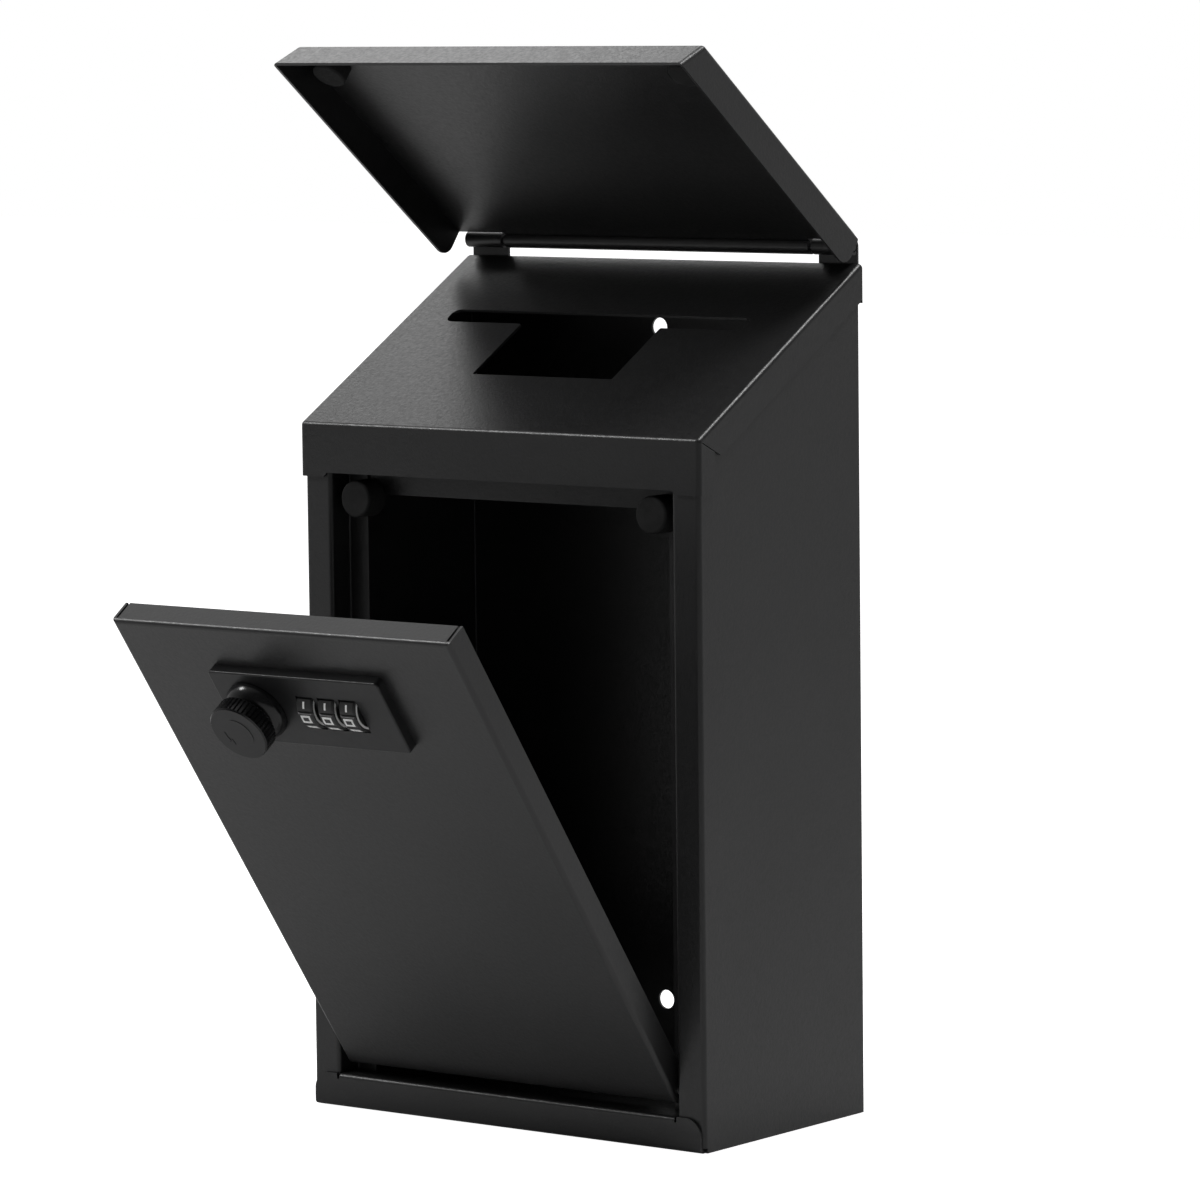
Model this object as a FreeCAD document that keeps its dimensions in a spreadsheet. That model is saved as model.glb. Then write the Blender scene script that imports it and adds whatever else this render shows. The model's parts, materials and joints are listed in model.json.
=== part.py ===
import FreeCAD, Part

import math
import os
import re

import Sketcher
from FreeCAD import Placement, Rotation, Vector

# Wall-hung drop box of folded sheet steel, with a lid over a sloping slotted top, a bottom-hinged front
# door and a three-dial combination lock. Millimetres. X to the right, Y to the back, Z up. The origin is
# the centre of the base, on the surface that the box stands on. Lid and door stand open, as modelled.

# Driving dimensions: name, value, meaning
DIMENSIONS = [
    ("body_width", 140.0, "folded body, side to side"),
    ("body_depth", 77.0, "folded body, stile face to back face"),
    ("sheet", 0.8, "thickness of the steel sheet"),
    ("bend_radius", 0.5, "inside radius of the folds"),
    ("stile_width", 9.5, "front stile, from the side to the door opening"),
    ("jamb_depth", 8.2, "stile face to the face of the door stop"),
    ("stop_width", 6.8, "door stop flange, inwards from the jamb"),
    ("wall_hole_dia", 5.5, "screw holes in the back"),
    ("wall_hole_low", 26.0, "lower wall hole above the base"),
    ("wall_hole_high", 222.0, "upper wall hole above the base"),
    ("rail_height", 9.6, "front rail of the base panel"),
    ("rail_corner", 5.0, "rounding of the rail's upper corners"),
    ("sill_depth", 7.8, "sill behind the rail, from the stile face"),
    ("sill_end_gap", 0.4, "each end of the sill to the jamb"),
    ("relief_width", 0.8, "bend relief slit beside the sill"),
    ("relief_depth", 1.6, "bend relief slit, down from the rail's top"),
    ("base_flange", 8.0, "flanges of the base panel inside the body"),
    ("weld_gap", 0.1, "between sheets that are spot welded inside"),
    ("lip_top", 197.0, "height of the fold between lip and slope"),
    ("slope_angle", 30.0, "fall of the sloping top, degrees"),
    ("lip_height", 15.3, "front lip of the cap"),
    ("lip_step", 1.2, "lip is shorter by this over the door"),
    ("lip_return", 7.2, "lip carried round the front corners"),
    ("cap_gap", 0.1, "cap to body, all round"),
    ("cap_seat", 0.7, "upper edge of the body below the slope sheet"),
    ("cap_flange", 9.2, "side flanges of the slope"),
    ("mitre_gap", 0.3, "open mitre between lip return and side flange"),
    ("mitre_angle", 25.0, "fall of the mitre, back from the lip, degrees"),
    ("skirt_height", 12.0, "back skirt of the cap"),
    ("slot_across", -1.8, "drop slot from the cap's centre line"),
    ("slot_length", 106.4, "crossbar of the drop slot"),
    ("slot_width", 6.4, "crossbar of the drop slot"),
    ("slot_distance", 57.0, "lip fold to the crossbar's middle, up the slope"),
    ("stem_width", 49.8, "stem of the drop slot"),
    ("stem_distance", 27.5, "lip fold to the stem's front edge, up the slope"),
    ("slot_end_round", 2.5, "rounded ends of the crossbar"),
    ("stem_corner", 0.6, "corners of the stem"),
    ("pin_dia", 3.0, "lid hinge pin"),
    ("pin_clear", 0.05, "radial play of pins and shafts"),
    ("hinge_rise", 3.8, "lid axis above the cap's rear fold"),
    ("tab_inset", 1.9, "hinge tabs, in from the cap's ends"),
    ("tab_width", 13.2, "hinge tabs and their knuckles"),
    ("roll_slit", 0.35, "open slit where a rolled edge ends"),
    ("knuckle_gap", 1.2, "between the cap's knuckles and the lid's roll"),
    ("lid_clear", 0.4, "lid flanges to the cap's sides"),
    ("lid_overhang", 2.4, "lid's front fold past the lip's fold, along the slope"),
    ("lid_front_flange", 11.8, "front flange of the lid, upright when closed"),
    ("lid_end_round", 4.5, "rounded rear ends of the lid's flanges"),
    ("lid_drop", 1.1, "lid's panel below the top of its roll"),
    ("lid_cut_back", 3.0, "lid's rear edge in front of the axis, beside the roll"),
    ("lid_open", 67.4, "lid as modelled, degrees from closed"),
    ("pad_dia", 10.6, "rubber bumpers of the door"),
    ("pad_round", 0.8, "rounded rim of the bumpers"),
    ("pad_gap", 0.1, "bumper to the panel that closes on it"),
    ("pad_margin", 0.4, "door bumpers to the closed door's flanges"),
    ("lid_pad_dia", 10.0, "rubber bumpers of the lid"),
    ("lid_pad_inset", 9.2, "lid bumpers in from the lid's sides"),
    ("lid_pad_back", 7.2, "lid bumpers back from the lid's front fold"),
    ("stop_rail_show", 6.4, "top stop rail below the lip"),
    ("stop_rail_height", 14.5, "top stop rail"),
    ("stop_rail_leg", 7.0, "upper leg of the stop rail, turned back"),
    ("door_side_gap", 1.4, "closed door to each jamb"),
    ("door_top_gap", 0.8, "closed door to the lip"),
    ("door_flange", 7.5, "depth of the door pan"),
    ("door_bottom_flange", 5.0, "bottom flange of the door pan"),
    ("door_heel_round", 2.2, "side flanges rounded at the bottom, behind the pivot"),
    ("door_seam", 0.8, "open seam at the door's upper corners"),
    ("door_recess", 0.2, "closed door behind the stile face"),
    ("sill_gap", 4.0, "closed door above the rail"),
    ("pivot_back", 3.2, "door axis behind the door face"),
    ("pivot_room", 0.1, "pivot heads to the door's bottom flange"),
    ("pivot_dia", 2.4, "door pivot pins"),
    ("pivot_head_dia", 3.4, "heads of the pivot pins"),
    ("pivot_head", 0.9, "heads of the pivot pins, thickness"),
    ("door_open", 35.6, "door as modelled, degrees from closed"),
    ("lock_drop", 26.0, "lock centre below the door's top edge"),
    ("plate_width", 59.6, "lock front plate"),
    ("plate_height", 24.8, "lock front plate"),
    ("plate_thick", 3.0, "lock front plate"),
    ("plate_corner", 1.2, "rounded corners of the lock plate"),
    ("plate_edge", 0.5, "rounded front edge of the lock plate"),
    ("block_width", 46.0, "lock block behind the door"),
    ("block_wall", 2.5, "lock block above and below the dials"),
    ("block_clear", 0.3, "lock block in the door's cut-out"),
    ("cover_thick", 1.0, "rear cover of the lock"),
    ("knob_across", -17.7, "knob axis from the door's centre line"),
    ("knob_gap", 0.15, "knob to the lock plate"),
    ("collar_dia", 18.8, "rounded collar of the knob"),
    ("collar_height", 4.4, "rounded collar of the knob"),
    ("waist_dia", 14.6, "waist between collar and grip"),
    ("grip_dia", 18.0, "grip of the knob"),
    ("grip_height", 5.2, "grip of the knob"),
    ("waist_height", 0.7, "waist between collar and grip"),
    ("grip_edge", 0.4, "bevelled edges of the grip"),
    ("knurl_count", 44.0, "flutes round the grip"),
    ("knurl_width", 0.6, "flutes round the grip"),
    ("knurl_depth", 0.3, "flutes round the grip"),
    ("spindle_dia", 7.0, "lock spindle"),
    ("spindle_socket", 4.0, "spindle inside the knob"),
    ("square_size", 5.0, "squared end of the spindle, which drives the cam"),
    ("square_clear", 0.1, "cam on the square"),
    ("cam_thick", 2.0, "lock cam"),
    ("cam_width", 9.6, "lock cam"),
    ("cam_reach", 26.0, "lock cam, axis to tip"),
    ("cam_gap", 2.0, "cam to the rear cover, clear of its screws"),
    ("cam_screw_dia", 3.0, "screw in the spindle's end"),
    ("cam_screw_head", 7.6, "screw head over the cam"),
    ("cam_screw_thick", 1.8, "screw head over the cam"),
    ("cam_screw_length", 6.0, "screw in the spindle's end"),
    ("dial_across", 8.7, "middle dial from the door's centre line"),
    ("dial_pitch", 7.45, "dial to dial"),
    ("dial_dia", 13.6, "number dials"),
    ("dial_width", 5.4, "number dials"),
    ("dial_proud", 2.7, "dials standing out of the plate"),
    ("dial_chamfer", 0.5, "edges of the dials"),
    ("notch_depth", 0.5, "detent notches between the numbers"),
    ("window_clear", 0.3, "dials in their windows"),
    ("dial_room", 0.5, "dials to the rear cover"),
    ("axle_dia", 2.4, "dial axle"),
    ("axle_seat", 2.4, "dial axle, length seated at each end"),
    ("spring_thick", 0.3, "detent spring leaf"),
    ("spring_finger", 2.6, "width of the spring's fingers"),
    ("spring_low", 3.6, "strip of the spring above the dial axis, lower edge"),
    ("spring_high", 5.6, "strip of the spring above the dial axis, upper edge"),
    ("spring_seat", 0.8, "strip of the spring past the dial slots, at each end"),
    ("spring_tip", 0.6, "rolled ends of the spring's fingers"),
    ("spring_gap", 0.1, "spring to its seat, to the cover and to the dials"),
    ("screw_dia", 2.5, "small lock screws"),
    ("screw_head", 4.4, "small lock screws, head"),
    ("screw_head_thick", 1.5, "small lock screws, head"),
    ("fixing_depth", 2.6, "fixing screws in the plate"),
    ("cover_screw_edge", 2.3, "cover screws in from the block's edges"),
    ("cover_screw_depth", 5.0, "cover screws in the block"),
    ("lever_across", 14.0, "code lever as modelled, from the centre line"),
    ("lever_drop", 6.8, "code lever below the lock's centre"),
    ("lever_length", 3.2, "thumb tab of the code lever"),
    ("lever_width", 1.8, "thumb tab of the code lever"),
    ("lever_out", 1.4, "thumb tab behind the rear cover"),
    ("lever_foot", 1.2, "foot of the code lever, inside the block"),
    ("lever_foot_length", 6.0, "foot of the code lever"),
    ("lever_foot_width", 2.6, "foot of the code lever"),
    ("lever_travel", 3.0, "code lever, slide to the left"),
    ("lever_clear", 0.1, "code lever in its slot"),
]

# Places worked out from the driving dimensions, as expressions on them
SIDE = "(body_width/2)"
FRONT = "(-body_depth/2)"
BACK = "(body_depth/2)"
OPENING = "(body_width/2 - stile_width)"
STOP_FACE = f"({FRONT} + jamb_depth)"
CAP_OUT = "(cap_gap + sheet)"
CAP_SIDE = f"({SIDE} + {CAP_OUT})"
CAP_FRONT = f"({FRONT} - {CAP_OUT})"
CAP_BACK = f"({BACK} + {CAP_OUT})"
CAP_RISE = f"((body_depth + 2*{CAP_OUT})*tan(slope_angle))"
CAP_TOP = f"(lip_top + {CAP_RISE})"
SLOPE_DROP = "(sheet/cos(slope_angle))"
ROLL_IN = "(pin_dia/2 + pin_clear)"
ROLL_OUT = f"({ROLL_IN} + sheet)"
LID_AXIS_Y = f"({CAP_BACK} - {ROLL_OUT})"
LID_AXIS_Z = f"({CAP_TOP} + hinge_rise)"
TAB_OUTER = f"({CAP_SIDE} - tab_inset)"
TAB_INNER = f"({TAB_OUTER} - tab_width)"
ROLL_HALF = f"({TAB_INNER} - knuckle_gap)"
LID_TOP = f"({ROLL_OUT} - lid_drop)"
LID_UNDER = f"({LID_TOP} - sheet)"
LID_SIDE = f"({CAP_SIDE} + lid_clear + sheet)"
AXIS_ABOVE_SLOPE = (
    f"(({LID_AXIS_Z} - lip_top)*cos(slope_angle) - ({LID_AXIS_Y} - {CAP_FRONT})*sin(slope_angle))"
)
AXIS_TO_LIP = (
    f"(({LID_AXIS_Z} - lip_top)*sin(slope_angle) + ({LID_AXIS_Y} - {CAP_FRONT})*cos(slope_angle))"
)
LID_REACH = f"({AXIS_TO_LIP} + lid_overhang)"
DOOR_AXIS_Y = f"({FRONT} + door_recess + pivot_back)"
PIVOT_UP = "(sheet + pivot_head_dia/2 + pivot_room)"
DOOR_AXIS_Z = f"(rail_height + sill_gap + {PIVOT_UP})"
DOOR_SIDE = f"({OPENING} - door_side_gap)"
LIP_LOW = "(lip_top - lip_height)"
DOOR_TOP = f"({LIP_LOW} + lip_step - door_top_gap)"
DOOR_FACE = "(-pivot_back)"
DOOR_INNER = "(sheet - pivot_back)"
DOOR_LOW = f"(-{PIVOT_UP})"
DOOR_HIGH = f"({DOOR_TOP} - {DOOR_AXIS_Z})"
LOCK_Z = f"({DOOR_HIGH} - lock_drop)"
PLATE_FACE = f"({DOOR_FACE} - plate_thick)"
DIAL_Y = f"({PLATE_FACE} - dial_proud + dial_dia/2)"
BLOCK_BACK = f"({DIAL_Y} + dial_dia/2 + dial_room)"
BLOCK_RISE = "(dial_dia/2 + block_wall)"
FIXING_ACROSS = "((plate_width + block_width)/4)"
COVER_BACK = f"({BLOCK_BACK} + cover_thick)"
CAM_FRONT = f"({COVER_BACK} + cam_gap)"
CAM_BACK = f"({CAM_FRONT} + cam_thick)"
WINDOW_HALF = "(dial_width/2 + window_clear)"
CAVITY_HALF = f"(dial_pitch + {WINDOW_HALF})"
CAVITY_R = "(dial_dia/2 + window_clear)"
DIAL_COUNT = 3
DIGITS = 10
HALF_DIGIT = str(180 / DIGITS)

doc = FreeCAD.newDocument("drop_box")
sizes = doc.addObject("Spreadsheet::Sheet", "Sizes")
for row, (alias, number, meaning) in enumerate(DIMENSIONS, start=1):
    sizes.set(f"A{row}", alias)
    sizes.set(f"B{row}", str(number))
    sizes.setAlias(f"B{row}", alias)
    sizes.set(f"C{row}", meaning)
doc.recompute()

ALIASES = re.compile(r"\b(" + "|".join(alias for alias, _, _ in DIMENSIONS) + r")\b")
SEED_RADIUS = 10.0
HINGE_LINE = Vector(1, 0, 0)
subparts = []


def bind(item, prop, text):
    """Ties a property to the driving dimensions named in an expression."""
    item.setExpression(prop, ALIASES.sub(r"Sizes.\1", text))


def new_body(label):
    """An empty body for one sub-part."""
    body = doc.addObject("PartDesign::Body", label)
    body.Label = label
    subparts.append(body)
    return body


def place(body, y, z, angle):
    """Puts a body's own origin at a hinge axis and turns it about that axis."""
    body.Placement = Placement(Vector(), Rotation(HINGE_LINE, SEED_RADIUS))
    bind(body, "Placement.Base.y", y)
    bind(body, "Placement.Base.z", z)
    bind(body, "Placement.Rotation.Angle", angle)


def sketch(body, plane, at=("0", "0", "0"), tilt=None):
    """A sketch on an origin plane, shifted (and tilted about its own x axis) by expressions."""
    item = body.newObject("Sketcher::SketchObject", f"{body.Label}_sketch")
    support = next(f for f in body.Origin.OriginFeatures if f.Role == plane)
    item.AttachmentSupport = [(support, "")]
    item.MapMode = "FlatFace"
    if tilt:
        item.AttachmentOffset = Placement(Vector(), Rotation(HINGE_LINE, SEED_RADIUS))
        bind(item, "AttachmentOffset.Rotation.Angle", tilt)
    for axis, text in zip("xyz", at):
        bind(item, f"AttachmentOffset.Base.{axis}", text)
    return item


def at_depth(y):
    """Offset of an upright sketch that faces forwards, for a depth y."""
    return ("0", "0", f"-({y})")


def hold(item, kind, element, point, start, text):
    """Adds one dimension to a sketch and ties it to an expression."""
    index = item.addConstraint(Sketcher.Constraint(kind, element, point, start))
    bind(item, f"Constraints[{index}]", text)


def outline(item, points):
    """A closed outline of straight lines through points given as pairs of expressions."""
    count = len(points)
    turns = [2 * math.pi * k / count for k in range(count)]
    seeds = [Vector(SEED_RADIUS * math.cos(a), SEED_RADIUS * math.sin(a), 0) for a in turns]
    first = item.GeometryCount
    for k in range(count):
        item.addGeometry(Part.LineSegment(seeds[k], seeds[(k + 1) % count]))
    for k, (x, y) in enumerate(points):
        following = first + (k + 1) % count
        item.addConstraint(Sketcher.Constraint("Coincident", first + k, 2, following, 1))
        hold(item, "DistanceX", first + k, 1, seeds[k].x, x)
        hold(item, "DistanceY", first + k, 1, seeds[k].y, y)
    return item


def rectangle(item, x0, x1, y0, y1):
    """A rectangle between two pairs of expressions."""
    return outline(item, [(x0, y0), (x1, y0), (x1, y1), (x0, y1)])


def circle(item, x, y, diameter):
    """A circle about a point given by expressions."""
    index = item.addGeometry(Part.Circle(Vector(), Vector(0, 0, 1), SEED_RADIUS))
    hold(item, "DistanceX", index, 3, 0.0, x)
    hold(item, "DistanceY", index, 3, 0.0, y)
    number = item.addConstraint(Sketcher.Constraint("Diameter", index, 2 * SEED_RADIUS))
    bind(item, f"Constraints[{number}]", diameter)
    return item


def pad(body, profile, length, midplane=False, backwards=False):
    """Adds a sketch, drawn out to a length."""
    feature = body.newObject("PartDesign::Pad", f"{body.Label}_pad")
    feature.Profile = profile
    feature.Midplane = midplane
    feature.Reversed = backwards
    bind(feature, "Length", length)
    doc.recompute()
    return feature


def checked_cut(feature, before, body):
    """Fails where a cut took nothing away."""
    doc.recompute()
    if body.Shape.Volume > before - 1e-6:
        raise RuntimeError(f"{feature.Label} in {body.Label} cut nothing")
    return feature


def pocket(body, profile, length=None, midplane=False, backwards=False):
    """Cuts a sketch, to a length or, both ways, right through."""
    before = body.Shape.Volume
    feature = body.newObject("PartDesign::Pocket", f"{body.Label}_pocket")
    feature.Profile = profile
    feature.Reversed = backwards
    feature.Midplane = midplane or not length
    if length:
        bind(feature, "Length", length)
    else:
        feature.Type = "ThroughAll"
    return checked_cut(feature, before, body)


def turned(body, profile, axis):
    """Adds a sketch, turned a full circle about one of its own axes."""
    feature = body.newObject("PartDesign::Revolution", f"{body.Label}_turned")
    feature.Profile = profile
    feature.ReferenceAxis = (profile, [axis])
    feature.Angle = 360
    doc.recompute()
    return feature


def polar(body, features, profile, axis, count):
    """Repeats features round one of a sketch's own axes."""
    feature = body.newObject("PartDesign::PolarPattern", f"{body.Label}_ring")
    feature.Originals = features
    feature.Axis = (profile, [axis])
    feature.Angle = 360
    bind(feature, "Occurrences", count)
    body.Tip = feature
    doc.recompute()
    return feature


def rounded(body, edges, radius):
    """Rounds the named edges of a body as it stands."""
    base = body.Tip
    feature = body.newObject("PartDesign::Fillet", f"{body.Label}_round")
    feature.Base = (base, edges)
    bind(feature, "Radius", radius)
    doc.recompute()
    if "Invalid" in feature.State:
        raise RuntimeError(f"{feature.Label} could not round {edges}")
    return feature


def bevelled(body, edges, size):
    """Chamfers the named edges of a body as it stands."""
    base = body.Tip
    feature = body.newObject("PartDesign::Chamfer", f"{body.Label}_bevel")
    feature.Base = (base, edges)
    bind(feature, "Size", size)
    doc.recompute()
    return feature


def along(edge, direction):
    """True where an edge is straight and runs in a direction."""
    if not isinstance(edge.Curve, Part.Line):
        return False
    return abs(abs(edge.Curve.Direction.dot(direction)) - 1) < 1e-6


def middle(edge):
    """The point half way along an edge."""
    return edge.valueAt((edge.FirstParameter + edge.LastParameter) / 2)


def is_hollow(shape, edge):
    """True where the two flat faces of an edge meet in an inside corner."""
    one, other = shape.ancestorsOfType(edge, Part.Face)
    return (other.CenterOfMass - middle(edge)).dot(one.normalAt(0, 0)) > 1e-6


def is_fold(shape, edge):
    """True where an edge and both its faces are wider than the sheet's own thickness."""
    faces = shape.ancestorsOfType(edge, Part.Face)
    wide = 1.5 * sizes.sheet
    return edge.Length > wide and all(face.Area / edge.Length > wide for face in faces)


def edge_names(body, test):
    """Names of the body's edges that pass a test."""
    shape = body.Shape
    numbered = enumerate(shape.Edges, start=1)
    return [f"Edge{k}" for k, edge in numbered if not edge.Degenerated and test(shape, edge)]


def round_folds(body, direction):
    """Gives every fold in a direction its inside and outside radius."""
    inner = edge_names(body, lambda s, e: along(e, direction) and is_hollow(s, e))
    rounded(body, inner, "bend_radius")
    outer = edge_names(
        body, lambda s, e: along(e, direction) and is_sharp(s, e) and is_fold(s, e) and not is_hollow(s, e)
    )
    rounded(body, outer, "bend_radius + sheet")


def is_sharp(shape, edge):
    """True where both faces of an edge are flat."""
    return all(isinstance(face.Surface, Part.Plane) for face in shape.ancestorsOfType(edge, Part.Face))


# Folded body: back, sides, stiles, jambs and door stops in one sheet
def build_body_wrap():
    body = new_body("body_wrap")
    stop_edge = f"({OPENING} - stop_width)"
    right_half = [
        (f"{SIDE} - sheet", f"{BACK} - sheet"),
        (f"{SIDE} - sheet", f"{FRONT} + sheet"),
        (f"{OPENING} + sheet", f"{FRONT} + sheet"),
        (f"{OPENING} + sheet", f"{STOP_FACE} + sheet"),
        (stop_edge, f"{STOP_FACE} + sheet"),
        (stop_edge, STOP_FACE),
        (OPENING, STOP_FACE),
        (OPENING, FRONT),
        (SIDE, FRONT),
        (SIDE, BACK),
    ]
    left_half = [(f"-({x})", y) for x, y in reversed(right_half)]
    pad(body, outline(sketch(body, "XY_Plane"), right_half + left_half), CAP_TOP)
    round_folds(body, Vector(0, 0, 1))

    # Upper edge, parallel to the slope
    over = "(body_depth/2)"
    seat = f"({SLOPE_DROP} + cap_seat)"
    front_z = f"lip_top + ({FRONT} - {over} - {CAP_FRONT})*tan(slope_angle) - {seat}"
    back_z = f"lip_top + ({BACK} + {over} - {CAP_FRONT})*tan(slope_angle) - {seat}"
    above = outline(
        sketch(body, "YZ_Plane"),
        [
            (f"{FRONT} - {over}", front_z),
            (f"{BACK} + {over}", back_z),
            (f"{BACK} + {over}", f"{CAP_TOP} + {over}"),
            (f"{FRONT} - {over}", f"{CAP_TOP} + {over}"),
        ],
    )
    pocket(body, above)

    # Room for the base panel under stiles, jambs and stops
    wide = f"({SIDE} + sheet)"
    narrow = f"({SIDE} - sheet)"
    near = f"({FRONT} + sheet + bend_radius)"
    far = f"({STOP_FACE} + 2*sheet)"
    under = outline(
        sketch(body, "XY_Plane"),
        [
            (f"-{wide}", f"{FRONT} - sheet"),
            (wide, f"{FRONT} - sheet"),
            (wide, near),
            (narrow, near),
            (narrow, far),
            (f"-{narrow}", far),
            (f"-{narrow}", near),
            (f"-{wide}", near),
        ],
    )
    pocket(body, under, "sheet + bend_radius + weld_gap", backwards=True)

    holes = sketch(body, "XZ_Plane")
    circle(holes, "0", "wall_hole_low", "wall_hole_dia")
    circle(holes, "0", "wall_hole_high", "wall_hole_dia")
    pocket(body, holes)
    pivots = circle(sketch(body, "YZ_Plane"), DOOR_AXIS_Y, DOOR_AXIS_Z, "pivot_dia + 2*pin_clear")
    pocket(body, pivots, f"2*({OPENING} + 2*sheet)", midplane=True)


# Base panel: floor, front rail with its sill, and flanges inside the body
def build_base_panel():
    body = new_body("base_panel")
    half = f"({SIDE} - sheet - weld_gap)"
    rail = f"({FRONT} - weld_gap - sheet)"
    rear = f"({BACK} - sheet - weld_gap)"
    sill_half = f"({OPENING} - sill_end_gap)"
    profile = [
        (rail, "0"),
        (rail, "rail_height"),
        (f"{rail} + sheet", "rail_height"),
        (f"{rail} + sheet", "sheet"),
        (f"{rear} - sheet", "sheet"),
        (f"{rear} - sheet", "base_flange"),
        (rear, "base_flange"),
        (rear, "0"),
    ]
    pad(body, outline(sketch(body, "YZ_Plane"), profile), f"2*{half}", midplane=True)
    round_folds(body, HINGE_LINE)

    sill = rectangle(
        sketch(body, "YZ_Plane"), rail, f"{FRONT} + sill_depth", "rail_height - sheet", "rail_height"
    )
    pad(body, sill, f"2*{sill_half}", midplane=True)
    slits = sketch(body, "XZ_Plane")
    for side in ("", "-"):
        near = f"{side}{sill_half}"
        far = f"{side}({sill_half} + relief_width)"
        rectangle(slits, near, far, "rail_height - relief_depth", "rail_height + sheet")
    pocket(body, slits)
    round_folds(body, HINGE_LINE)

    for side in ("", "-"):
        flange = rectangle(
            sketch(body, "XY_Plane"),
            f"{side}({half} - sheet)",
            f"{side}{half}",
            f"{STOP_FACE} + 3*sheet",
            f"{rear} - 3*sheet",
        )
        pad(body, flange, "base_flange")

    top = sizes.rail_height
    ends = edge_names(body, lambda s, e: along(e, Vector(0, 1, 0)) and on_rail_end(e, top))
    rounded(body, ends, "rail_corner")
    leg = "3*bend_radius"
    for side in ("", "-"):
        end = f"{side}{half}"
        corner = [(end, rear), (f"{side}({half} - {leg})", rear), (end, f"{rear} - {leg}")]
        pocket(body, outline(sketch(body, "XY_Plane"), corner))


def on_rail_end(edge, height):
    """True for the two upper end edges of the base panel's rail."""
    point = middle(edge)
    return abs(point.z - height) < 1e-3 and abs(point.x) > sizes.body_width / 2 - 2 * sizes.sheet


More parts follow.
